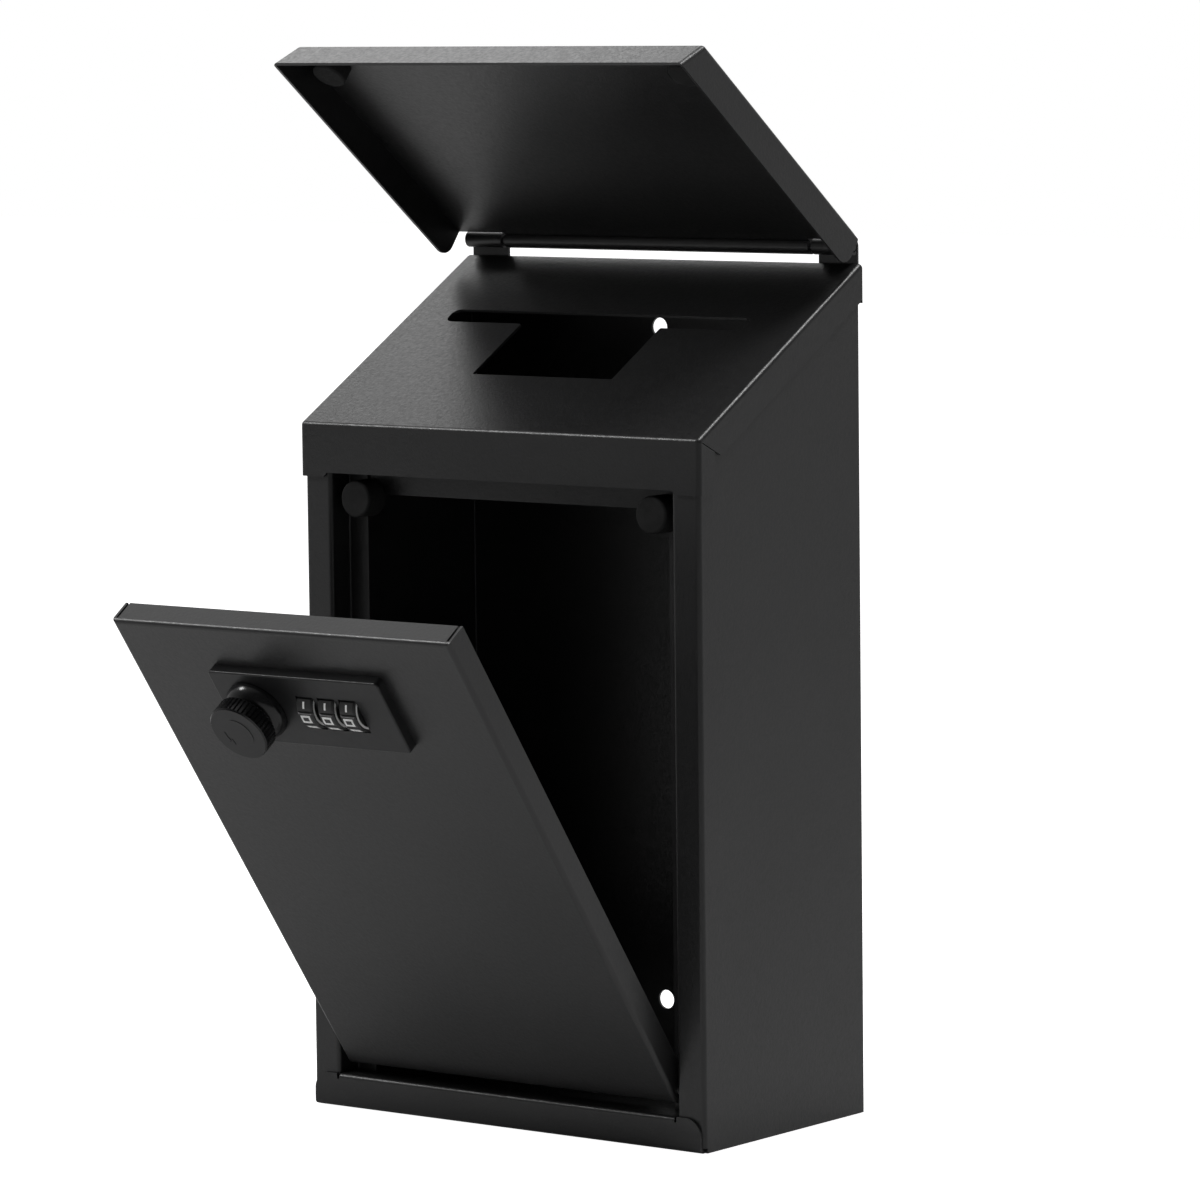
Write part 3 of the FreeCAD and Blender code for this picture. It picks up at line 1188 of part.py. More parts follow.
# Cam that hooks behind the top stop rail; it points to the right when unlocked
def build_lock_cam():
    body = new_body("lock_cam")
    bar = rectangle(
        sketch(body, "XZ_Plane", at_depth(CAM_FRONT)),
        "knob_across - cam_width/2",
        "knob_across + cam_reach",
        f"{LOCK_Z} - cam_width/2",
        f"{LOCK_Z} + cam_width/2",
    )
    pad(body, bar, "cam_thick", backwards=True)
    ends = edge_names(body, lambda s, e: along(e, Vector(0, 1, 0)))
    rounded(body, ends, "0.45*cam_width")
    hole_half = "(square_size/2 + square_clear)"
    hole = rectangle(
        sketch(body, "XZ_Plane"),
        f"knob_across - {hole_half}",
        f"knob_across + {hole_half}",
        f"{LOCK_Z} - {hole_half}",
        f"{LOCK_Z} + {hole_half}",
    )
    pocket(body, hole)
    hang_on_door(body)


def build_cam_screw():
    body = new_body("cam_screw")
    head = circle(sketch(body, "XZ_Plane", at_depth(CAM_BACK)), "knob_across", LOCK_Z, "cam_screw_head")
    pad(body, head, "cam_screw_thick", backwards=True)
    shaft = circle(
        sketch(body, "XZ_Plane", at_depth(CAM_BACK)), "knob_across", LOCK_Z, "cam_screw_dia - 2*pin_clear"
    )
    pad(body, shaft, "cam_screw_length - pin_clear")
    hang_on_door(body)


build_body_wrap()
build_base_panel()
build_top_cap()
build_top_stop_rail()
build_door_bumpers()
build_lid_pan()
build_lid_bumpers()
build_lid_hinge_pin()
build_door_pivot_pins()
build_door_pan()
build_lock_body()
build_lock_rear_cover()
build_lock_screws()
build_number_dials()
build_dial_axle()
build_dial_detent_spring()
build_code_change_lever()
build_lock_knob()
build_knob_spindle()
build_lock_cam()
build_cam_screw()
doc.recompute()

for item in doc.Objects:
    if "Invalid" in item.State or "Error" in item.State:
        raise RuntimeError(f"{item.Label} failed: {item.State}")

os.makedirs("parts", exist_ok=True)
for body in subparts:
    if body.Shape.isNull() or not body.Shape.isValid():
        raise RuntimeError(f"{body.Label} has no valid shape")
    body.Shape.exportStep(f"parts/{body.Label}.step")
    print(body.Label, len(body.Shape.Solids), round(body.Shape.Volume, 1))
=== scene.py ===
"""Looks of a wall-hung drop box: finishes, lock markings, screw heads, studio and camera."""

import json
import logging
import math
from dataclasses import dataclass
from enum import Enum
from functools import cached_property
from typing import Iterable, Sequence

import bmesh
import bpy
from mathutils import Matrix, Vector


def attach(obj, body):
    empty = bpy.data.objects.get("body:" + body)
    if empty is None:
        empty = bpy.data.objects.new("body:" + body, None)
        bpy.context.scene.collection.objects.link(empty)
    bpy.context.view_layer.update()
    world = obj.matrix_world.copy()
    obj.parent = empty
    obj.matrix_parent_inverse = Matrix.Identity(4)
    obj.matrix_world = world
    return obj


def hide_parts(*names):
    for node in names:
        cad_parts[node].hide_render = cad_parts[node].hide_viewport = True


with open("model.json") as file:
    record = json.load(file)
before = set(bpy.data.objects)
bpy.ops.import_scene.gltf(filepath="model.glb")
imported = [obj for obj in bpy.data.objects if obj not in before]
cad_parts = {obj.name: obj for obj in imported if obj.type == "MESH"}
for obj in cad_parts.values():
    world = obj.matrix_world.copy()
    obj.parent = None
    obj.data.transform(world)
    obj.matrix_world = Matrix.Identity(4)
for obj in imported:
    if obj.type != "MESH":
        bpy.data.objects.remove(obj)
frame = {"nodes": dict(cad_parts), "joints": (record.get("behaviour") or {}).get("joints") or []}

Colour = tuple[float, float, float, float]
Place = tuple[float, float, float]
Point = tuple[float, float]

MM = 0.001
WELD_MM = 0.001
QUARTER_TURN = math.pi / 2
WHITE: Colour = (1.0, 1.0, 1.0, 1.0)
log = logging.getLogger("drop_box")


class Body(Enum):
    """Bodies that new pieces ride on."""

    DOOR = "door"
    KNOB = "knob"
    DIAL_1 = "dial_1"
    DIAL_2 = "dial_2"
    DIAL_3 = "dial_3"


class Slot(Enum):
    """Material slots of the record."""

    LOCK_BLACK = "lock_black"
    STEEL = "steel"


class Shader(Enum):
    """Shader nodes that a new material or world starts with."""

    SURFACE = "Principled BSDF"
    SKY = "Background"


class NodeBench:
    """The nodes of one material or world, with short calls that add and join them."""

    FINE_LAYERS = 2.0
    CLOUD_LAYERS = 3.0
    NOISE_RANGE = (0.3, 0.7)
    FACING_RANGE = (0.97, 0.995)
    EDGE_GAIN = 4.0

    def __init__(self, owner: bpy.types.Material | bpy.types.World, shader: Shader) -> None:
        """Starts on the nodes of a new owner.

        Args:
            owner: The material or world.
            shader: The shader that its nodes start with.
        """
        owner.use_nodes = True
        self.tree = owner.node_tree
        self.shader = self.tree.nodes[shader.value]

    @cached_property
    def coordinates(self) -> bpy.types.Node:
        """Coordinates fixed to the piece, or the ways to look in a world."""
        return self.add("ShaderNodeTexCoord")

    def add(self, kind: str) -> bpy.types.Node:
        """A new node of a kind."""
        return self.tree.nodes.new(kind)

    def feed(self, socket: bpy.types.NodeSocket, source: object) -> None:
        """Joins a socket to another one, or sets its value.

        Args:
            socket: Input to fill.
            source: Output socket, number, vector or colour.
        """
        if isinstance(source, bpy.types.NodeSocket):
            self.tree.links.new(source, socket)
        else:
            socket.default_value = source

    def fill(self, name: str, source: object) -> None:
        """Fills an input of the shader."""
        self.feed(self.shader.inputs[name], source)

    def pair(self, kind: str, operation: str, first: object, second: object) -> bpy.types.NodeSocket:
        """One operation on two values or vectors.

        Args:
            kind: Kind of node that has the operation.
            operation: Name of the operation.
            first: Socket, number or vector.
            second: Socket, number or vector.

        Returns:
            The result.
        """
        node = self.add(kind)
        node.operation = operation
        self.feed(node.inputs[0], first)
        self.feed(node.inputs[1], second)
        return node.outputs["Value"]

    def maths(self, operation: str, first: object, second: object) -> bpy.types.NodeSocket:
        """One operation on two numbers."""
        return self.pair("ShaderNodeMath", operation, first, second)

    def dot(self, first: object, second: object) -> bpy.types.NodeSocket:
        """How far two directions agree, from -1 to 1."""
        return self.pair("ShaderNodeVectorMath", "DOT_PRODUCT", first, second)

    def remap(self, value: bpy.types.NodeSocket, source: Point, result: Point) -> bpy.types.NodeSocket:
        """A value carried from one range to another and held at the ends.

        Args:
            value: Value to carry.
            source: Range that it comes from.
            result: Range that it goes to.

        Returns:
            The new value.
        """
        node = self.add("ShaderNodeMapRange")
        self.feed(node.inputs["Value"], value)
        for name, end in zip(("From Min", "From Max", "To Min", "To Max"), (*source, *result)):
            self.feed(node.inputs[name], end)
        return node.outputs["Result"]

    def noise(self, size_mm: float, layers: float = FINE_LAYERS) -> bpy.types.NodeSocket:
        """A cloudy pattern, most of it within NOISE_RANGE.

        Args:
            size_mm: Size of its spots.
            layers: Number of finer layers in it.

        Returns:
            The pattern's value.
        """
        texture = self.add("ShaderNodeTexNoise")
        self.feed(texture.inputs["Vector"], self.coordinates.outputs["Object"])
        self.feed(texture.inputs["Scale"], 1 / (size_mm * MM))
        self.feed(texture.inputs["Detail"], layers)
        return texture.outputs["Fac"]

    def cloud(self, size_mm: float, low: float, high: float) -> bpy.types.NodeSocket:
        """A cloudy pattern stretched to a range.

        Args:
            size_mm: Size of its spots.
            low: Lowest value.
            high: Highest value.

        Returns:
            The pattern's value.
        """
        pattern = self.noise(size_mm, self.CLOUD_LAYERS)
        return self.remap(pattern, self.NOISE_RANGE, (low, high))

    def blend(self, factor: bpy.types.NodeSocket, first: object, second: object) -> bpy.types.NodeSocket:
        """A mix of two colours.

        Args:
            factor: Share of the second colour.
            first: Socket or colour.
            second: Socket or colour.

        Returns:
            The mixed colour.
        """
        node = self.add("ShaderNodeMix")
        node.data_type = "RGBA"
        self.feed(node.inputs["Factor"], factor)
        self.feed(node.inputs["A"], first)
        self.feed(node.inputs["B"], second)
        return node.outputs["Result"]

    def edges(self, width_mm: float) -> bpy.types.NodeSocket:
        """A mask that is 0 on flats and rises at edges and folds.

        Args:
            width_mm: Reach of the mask from an edge.

        Returns:
            The mask.
        """
        bevel = self.add("ShaderNodeBevel")
        self.feed(bevel.inputs["Radius"], width_mm * MM)
        flat = self.add("ShaderNodeNewGeometry")
        turned = self.maths("SUBTRACT", 1.0, self.dot(bevel.outputs["Normal"], flat.outputs["Normal"]))
        return self.maths("MINIMUM", self.maths("MULTIPLY", turned, self.EDGE_GAIN), 1.0)

    def facing(self, way: Vector, value: float) -> bpy.types.NodeSocket:
        """A value on faces that look one way, and 0 elsewhere.

        Args:
            way: Unit vector in the piece's own frame.
            value: Value on those faces.

        Returns:
            The value.
        """
        agree = self.dot(self.coordinates.outputs["Normal"], way)
        return self.remap(agree, self.FACING_RANGE, (0.0, value))

    def bump(
        self, height: bpy.types.NodeSocket, depth_mm: float, under: bpy.types.NodeSocket | None = None
    ) -> bpy.types.NodeSocket:
        """A normal raised by a pattern.

        Args:
            height: Pattern.
            depth_mm: Height of the pattern from 0 to 1.
            under: Normal that this one goes over.

        Returns:
            The normal.
        """
        node = self.add("ShaderNodeBump")
        self.feed(node.inputs["Strength"], 1.0)
        self.feed(node.inputs["Distance"], depth_mm * MM)
        self.feed(node.inputs["Height"], height)
        if under is not None:
            self.feed(node.inputs["Normal"], under)
        return node.outputs["Normal"]

    def camera_rays(self) -> bpy.types.NodeSocket:
        """1 for what the picture shows directly, and 0 for light on the way to a surface."""
        return self.add("ShaderNodeLightPath").outputs["Is Camera Ray"]


@dataclass(frozen=True)
class Finish:
    """A surface finish: cloudy colour, uneven gloss, grain, and an edge colour on edges and folds; where it
    is lighter, as on most finishes, it is partly wear and partly a painted highlight along the edges and
    folds.
    """

    name: str
    dark: Colour
    light: Colour
    # colour on edges and folds: partly wear, partly a painted highlight where it is lighter than the rest
    edge: Colour
    cloud_mm: float
    gloss_mm: float
    rough_low: float
    rough_high: float
    grain_mm: float
    grain_depth_mm: float
    swell_mm: float
    swell_depth_mm: float
    edge_mm: float
    edge_wear_and_highlight_share: float
    metallic: float = 0.0
    specular: float = 0.5
    face_rough: float = 0.0

    def material(self, face: Vector | None = None) -> bpy.types.Material:
        """The finish as a material.

        Args:
            face: Way that a matte front face looks, in the piece's own frame, if it has one.

        Returns:
            The material.
        """
        material = bpy.data.materials.new(self.name)
        bench = NodeBench(material, Shader.SURFACE)
        colour = bench.blend(bench.cloud(self.cloud_mm, 0.0, 1.0), self.dark, self.light)
        # edges and folds, inside ones too, blend to the edge colour: partly wear, partly a painted edge
        # highlight
        edge_wear_and_highlight = bench.maths("MULTIPLY", bench.edges(self.edge_mm), self.edge_wear_and_highlight_share)
        rough = bench.cloud(self.gloss_mm, self.rough_low, self.rough_high)
        if face is not None:
            rough = bench.maths("MAXIMUM", rough, bench.facing(face, self.face_rough))
        swell = bench.bump(bench.noise(self.swell_mm), self.swell_depth_mm)
        grain = bench.bump(bench.noise(self.grain_mm), self.grain_depth_mm, swell)
        bench.fill("Base Color", bench.blend(edge_wear_and_highlight, colour, self.edge))
        bench.fill("Roughness", rough)
        bench.fill("Normal", grain)
        bench.fill("Metallic", self.metallic)
        bench.fill("Specular IOR Level", self.specular)
        return material


# the lighter edge colours below are partly wear and partly a painted highlight along edges and folds
POWDER_COAT = Finish(
    name="powder_coat",
    dark=(0.0125, 0.0125, 0.0128, 1.0),
    light=(0.0165, 0.0165, 0.0168, 1.0),
    edge=(0.03, 0.03, 0.031, 1.0),
    cloud_mm=45.0,
    gloss_mm=1.1,
    rough_low=0.3,
    rough_high=0.42,
    grain_mm=0.85,
    grain_depth_mm=0.045,
    swell_mm=2.2,
    swell_depth_mm=0.02,
    edge_mm=0.5,
    edge_wear_and_highlight_share=0.25,
)
SATIN_BLACK = Finish(
    name="satin_black",
    dark=(0.009, 0.009, 0.0095, 1.0),
    light=(0.013, 0.013, 0.0135, 1.0),
    edge=(0.05, 0.05, 0.052, 1.0),
    cloud_mm=12.0,
    gloss_mm=2.0,
    rough_low=0.34,
    rough_high=0.42,
    grain_mm=0.25,
    grain_depth_mm=0.008,
    swell_mm=1.2,
    swell_depth_mm=0.006,
    edge_mm=0.25,
    edge_wear_and_highlight_share=0.4,
    specular=0.34,
)
GLOSS_BLACK = Finish(
    name="gloss_black",
    dark=(0.007, 0.007, 0.0075, 1.0),
    light=(0.010, 0.010, 0.0105, 1.0),
    edge=(0.04, 0.04, 0.042, 1.0),
    cloud_mm=6.0,
    gloss_mm=1.5,
    rough_low=0.14,
    rough_high=0.22,
    grain_mm=0.3,
    grain_depth_mm=0.003,
    swell_mm=2.0,
    swell_depth_mm=0.006,
    edge_mm=0.2,
    edge_wear_and_highlight_share=0.1,
    specular=0.36,
    face_rough=0.42,
)
DIAL_PLASTIC = Finish(
    name="dial_plastic",
    dark=(0.006, 0.006, 0.006, 1.0),
    light=(0.010, 0.010, 0.010, 1.0),
    edge=(0.03, 0.03, 0.03, 1.0),
    cloud_mm=3.0,
    gloss_mm=0.8,
    rough_low=0.38,
    rough_high=0.5,
    grain_mm=0.2,
    grain_depth_mm=0.006,
    swell_mm=1.5,
    swell_depth_mm=0.005,
    edge_mm=0.15,
    edge_wear_and_highlight_share=0.3,
)
# white of the numbers, which are print, and of the dials' rings, which are a painted highlight
NUMBER_AND_HIGHLIGHT_WHITE = Finish(
    name="number_and_highlight_white",
    dark=(0.74, 0.74, 0.73, 1.0),
    light=(0.86, 0.86, 0.85, 1.0),
    edge=(0.6, 0.6, 0.6, 1.0),
    cloud_mm=0.8,
    gloss_mm=0.4,
    rough_low=0.45,
    rough_high=0.6,
    grain_mm=0.12,
    grain_depth_mm=0.004,
    swell_mm=0.6,
    swell_depth_mm=0.004,
    edge_mm=0.05,
    edge_wear_and_highlight_share=0.3,
)
BUMPER_RUBBER = Finish(
    name="bumper_rubber",
    dark=(0.018, 0.018, 0.018, 1.0),
    light=(0.025, 0.025, 0.025, 1.0),
    edge=(0.035, 0.035, 0.035, 1.0),
    cloud_mm=4.0,
    gloss_mm=1.2,
    rough_low=0.62,
    rough_high=0.8,
    grain_mm=0.3,
    grain_depth_mm=0.02,
    swell_mm=2.0,
    swell_depth_mm=0.02,
    edge_mm=0.4,
    edge_wear_and_highlight_share=0.4,
    specular=0.07,
)
ZINC_STEEL = Finish(
    name="zinc_steel",
    dark=(0.50, 0.50, 0.50, 1.0),
    light=(0.62, 0.62, 0.63, 1.0),
    edge=(0.75, 0.75, 0.76, 1.0),
    cloud_mm=3.0,
    gloss_mm=0.7,
    rough_low=0.26,
    rough_high=0.42,
    grain_mm=0.15,
    grain_depth_mm=0.006,
    swell_mm=1.0,
    swell_depth_mm=0.008,
    edge_mm=0.15,
    edge_wear_and_highlight_share=0.6,
    metallic=1.0,
)


def dress(names: Iterable[str], material: bpy.types.Material) -> None:
    """Gives CAD nodes a material.

    Args:
        names: Names of the nodes.
        material: Material for all of them.
    """
    for name in names:
        node = frame["nodes"][name]
        node.data.materials.clear()
        node.data.materials.append(material)
        log.info("dressed %s in %s", name, material.name)


def new_piece(name: str, mesh: bpy.types.Mesh, material: bpy.types.Material) -> bpy.types.Object:
    """A piece in the scene from a mesh.

    Args:
        name: Name of the piece.
        mesh: Its mesh, in metres.
        material: Its material.

    Returns:
        The piece.
    """
    mesh.materials.append(material)
    piece = bpy.data.objects.new(name, mesh)
    bpy.context.scene.collection.objects.link(piece)
    return piece


def mesh_from(work: bmesh.types.BMesh, name: str) -> bpy.types.Mesh:
    """A mesh with outward normals from a finished bmesh.

    Args:
        work: The bmesh, which is freed.
        name: Name of the mesh.

    Returns:
        The mesh.
    """
    bmesh.ops.recalc_face_normals(work, faces=work.faces)
    mesh = bpy.data.meshes.new(name)
    work.to_mesh(mesh)
    work.free()
    return mesh


def carry(piece: bpy.types.Object, body: Body) -> None:
    """Makes a piece move with a body and reports it.

    Args:
        piece: The piece, in place.
        body: Body that carries it.
    """
    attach(piece, body.value)
    log.info("built %s on %s", piece.name, body.value)


def joint(name: str) -> dict:
    """The record of a joint by name."""
    return next(j for j in frame["joints"] if j["name"] == name)


def reach(name: str, start: Vector, way: Vector) -> float:
    """How far a CAD node extends from a point.

    Args:
        name: Name of the node.
        start: The point.
        way: Unit vector along which to measure.

    Returns:
        The distance to the node's furthest point, in metres.
    """
    node = frame["nodes"][name]
    return max((node.matrix_world @ vert.co - start).dot(way) for vert in node.data.vertices)


def door_frame() -> Matrix:
    """The door's own frame: origin on its pivots, turned as the door stands at rest.

    Returns:
        Matrix from the door's frame to the scene.
    """
    hinge = joint("door_hinge")
    opened = -math.radians(hinge["range_deg"][0])
    return Matrix.Translation(hinge["pos_m"]) @ Matrix.Rotation(opened, 4, "X")


class Stroke:
    """A flat pen line of even width with mitred corners, in millimetres."""

    def __init__(self, points: Sequence[Point], width: float, closed: bool = False) -> None:
        """Keeps the line.

        Args:
            points: Corners of the line.
            width: Width of the pen.
            closed: True where the end joins the start.
        """
        self.points = [Vector(p) for p in points]
        self.width = width
        self.closed = closed

    def side(self, first: Vector, second: Vector) -> Vector:
        """Unit vector to the left of a run."""
        run = (second - first).normalized()
        return Vector((-run.y, run.x))

    def mitre(self, k: int) -> Vector:
        """From a corner to the left edge of the line there.

        Args:
            k: Number of the corner.

        Returns:
            The offset.
        """
        count = len(self.points)
        here = self.points[k]
        sides = []
        if self.closed or k > 0:
            sides.append(self.side(self.points[(k - 1) % count], here))
        if self.closed or k < count - 1:
            sides.append(self.side(here, self.points[(k + 1) % count]))
        middle = sum(sides, Vector((0.0, 0.0))).normalized()
        return middle * (self.width / 2 / middle.dot(sides[0]))

    def cells(self, step: float) -> list[list[Vector]]:
        """Four-cornered cells that make up the line.

        Args:
            step: Longest cell.

        Returns:
            Corners of each cell.
        """
        count = len(self.points)
        runs = count if self.closed else count - 1
        found = []
        for k in range(runs):
            here, there = self.points[k], self.points[(k + 1) % count]
            left = (here + self.mitre(k), there + self.mitre((k + 1) % count))
            right = (here - self.mitre(k), there - self.mitre((k + 1) % count))
            parts = max(1, math.ceil((there - here).length / step))
            for n in range(parts):
                low, high = n / parts, (n + 1) / parts
                found.append(
                    [right[0].lerp(right[1], low), right[0].lerp(right[1], high),
                     left[0].lerp(left[1], high), left[0].lerp(left[1], low)]
                )
        return found


def relief(strokes: Iterable[Stroke], step: float, height: float) -> bmesh.types.BMesh:
    """Pen strokes as a flat drawing with a height.

    Args:
        strokes: The strokes, in millimetres.
        step: Longest cell along a stroke.
        height: Height of the drawing.

    Returns:
        Mesh in millimetres, with the drawing in XY and its height along Z.
    """
    work = bmesh.new()
    for stroke in strokes:
        for cell in stroke.cells(step):
            work.faces.new([work.verts.new((p.x, p.y, 0.0)) for p in cell])
    bmesh.ops.remove_doubles(work, verts=work.verts, dist=WELD_MM)
    raised = bmesh.ops.extrude_face_region(work, geom=work.faces[:])
    top = [item for item in raised["geom"] if isinstance(item, bmesh.types.BMVert)]
    bmesh.ops.translate(work, vec=(0.0, 0.0, height), verts=top)
    return work


class Figures:
    """Boxy numbers drawn with straight pen strokes in a frame from -1 to 1."""

    LEFT, MID, RIGHT = -1.0, 0.0, 1.0
    LOW, HALF, HIGH = -1.0, 0.0, 1.0
    LINES: dict[int, list[list[Point]]] = {
        1: [[(MID, HIGH), (MID, LOW)]],
        2: [[(LEFT, HIGH), (RIGHT, HIGH), (RIGHT, HALF), (LEFT, HALF), (LEFT, LOW), (RIGHT, LOW)]],
        3: [[(LEFT, HIGH), (RIGHT, HIGH), (RIGHT, LOW), (LEFT, LOW)], [(LEFT, HALF), (RIGHT, HALF)]],
        4: [[(LEFT, HIGH), (LEFT, HALF), (RIGHT, HALF)], [(RIGHT, HIGH), (RIGHT, LOW)]],
        5: [[(RIGHT, HIGH), (LEFT, HIGH), (LEFT, HALF), (RIGHT, HALF), (RIGHT, LOW), (LEFT, LOW)]],
        6: [[(RIGHT, HIGH), (LEFT, HIGH), (LEFT, LOW), (RIGHT, LOW), (RIGHT, HALF), (LEFT, HALF)]],
        7: [[(LEFT, HIGH), (RIGHT, HIGH), (MID, LOW)]],
        8: [[(LEFT, HALF), (RIGHT, HALF)]],
        9: [[(LEFT, LOW), (RIGHT, LOW), (RIGHT, HIGH), (LEFT, HIGH), (LEFT, HALF), (RIGHT, HALF)]],
    }
    BOX: list[Point] = [(LEFT, LOW), (LEFT, HIGH), (RIGHT, HIGH), (RIGHT, LOW)]
    BOXED = (0, 8)

    @classmethod
    def strokes(cls, figure: int, half_width: float, half_height: float, pen: float) -> list[Stroke]:
        """The pen strokes of a number.

        Args:
            figure: Number from 0 to 9.
            half_width: Half the number's width, at the middle of the pen.
            half_height: Half its height, likewise.
            pen: Width of the pen.

        Returns:
            The strokes, in millimetres.
        """
        lines = [(cls.BOX, True)] if figure in cls.BOXED else []
        lines += [(line, False) for line in cls.LINES.get(figure, [])]
        sized = [([(x * half_width, y * half_height) for x, y in line], closed) for line, closed in lines]
        return [Stroke(points, pen, closed) for points, closed in sized]


@dataclass
class Shell:
    """Folded body, base, cap and stop rail, with the bumpers and pivots fixed to them."""

    sheets: tuple[str, ...] = ("body_wrap", "base_panel", "top_cap", "top_stop_rail", "lid_hinge_pin")
    bumpers: tuple[str, ...] = ("door_bumper_left", "door_bumper_right")
    pivots: tuple[str, ...] = ("door_pivot_pin_left", "door_pivot_pin_right")

    def build(self, coat: bpy.types.Material, rubber: bpy.types.Material, steel: bpy.types.Material) -> None:
        """Dresses the shell.

        Args:
            coat: Material of the sheet metal.
            rubber: Material of the bumpers.
            steel: Material of the pivots.
        """
        dress(self.sheets, coat)
        dress(self.bumpers, rubber)
        dress(self.pivots, steel)


@dataclass
class Lid:
    """Lid pan and the bumpers under its front corners."""

    sheet: str = "lid_pan"
    bumpers: tuple[str, ...] = ("lid_bumper_left", "lid_bumper_right")

    def build(self, coat: bpy.types.Material, rubber: bpy.types.Material) -> None:
        """Dresses the lid.

        Args:
            coat: Material of the sheet metal.
            rubber: Material of the bumpers.
        """
        dress((self.sheet,), coat)
        dress(self.bumpers, rubber)


@dataclass
class NumberDials:
    """Three dials with painted numbers and, on the right flank, a white ring that is a painted highlight
    along the dial's right edge, in millimetres.
    """

    radius: float = 6.8
    half_width: float = 2.7
    count: int = 3
    figures: int = 10
    pen: float = 0.62
    figure_half_width: float = 1.3
    figure_half_height: float = 0.98
    highlight_ring_inner: float = 5.4
    highlight_ring_outer: float = 6.0
    paint: float = 0.04
    sunk: float = 0.02
    step: float = 0.5
    highlight_ring_parts: int = 72

    def build(self, plastic: bpy.types.Material, white: bpy.types.Material) -> None:
        """Dresses the dials and paints them.

        Args:
            plastic: Material of the dials.
            white: Material of the numbers and of the white rings, which are a painted highlight.
        """
        for number in range(1, self.count + 1):
            dress((f"number_dial_{number}",), plastic)
            place = self.place(number)
            body = Body(f"dial_{number}")
            carry(self.numbers(number, place, white), body)
            # the white ring on the right flank is a painted highlight along the dial's edge
            carry(self.line(number, place, white), body)

    def place(self, number: int) -> Matrix:
        """A dial's own frame: origin at its centre, turned with the door.

        Args:
            number: Number of the dial.

        Returns:
            Matrix from the dial's frame to the scene.
        """
        place = door_frame()
        place.translation = joint(f"dial_{number}_turn")["pos_m"]
        return place

    def numbers(self, number: int, place: Matrix, white: bpy.types.Material) -> bpy.types.Object:
        """The painted numbers of one dial, wrapped round its rim.

        Args:
            number: Number of the dial.
            place: Frame of the dial.
            white: Material of the paint.

        Returns:
            The piece.
        """
        whole = bmesh.new()
        for figure in range(self.figures):
            strokes = Figures.strokes(figure, self.figure_half_width, self.figure_half_height, self.pen)
            work = relief(strokes, self.step, self.paint + self.sunk)
            for vert in work.verts:
                angle = 2 * math.pi * figure / self.figures + vert.co.y / self.radius
                radius = self.radius - self.sunk + vert.co.z
                vert.co = (vert.co.x, -radius * math.cos(angle), radius * math.sin(angle))
            part = mesh_from(work, "dial_number")
            whole.from_mesh(part)
            bpy.data.meshes.remove(part)
        whole.transform(place @ Matrix.Scale(MM, 4))
        return new_piece(f"dial_numbers_{number}", mesh_from(whole, f"dial_numbers_{number}"), white)

    def line(self, number: int, place: Matrix, white: bpy.types.Material) -> bpy.types.Object:
        """A white ring on a dial's right flank: a painted highlight along the dial's right edge.

        Args:
            number: Number of the dial.
            place: Frame of the dial.
            white: Material of the paint.

        Returns:
            The piece.
        """
        # a white ring on the right flank, a painted highlight along the dial's edge
        turns = [2 * math.pi * k / self.highlight_ring_parts for k in range(self.highlight_ring_parts)]
        middle = (self.highlight_ring_inner + self.highlight_ring_outer) / 2
        ring = [(middle * math.cos(a), middle * math.sin(a)) for a in turns]
        stroke = Stroke(ring, self.highlight_ring_outer - self.highlight_ring_inner, closed=True)
        work = relief([stroke], self.highlight_ring_outer, self.paint + self.sunk)
        for vert in work.verts:
            vert.co = (self.half_width - self.sunk + vert.co.z, vert.co.x, vert.co.y)
        work.transform(place @ Matrix.Scale(MM, 4))
        return new_piece(f"dial_highlight_ring_{number}", mesh_from(work, f"dial_highlight_ring_{number}"), white)


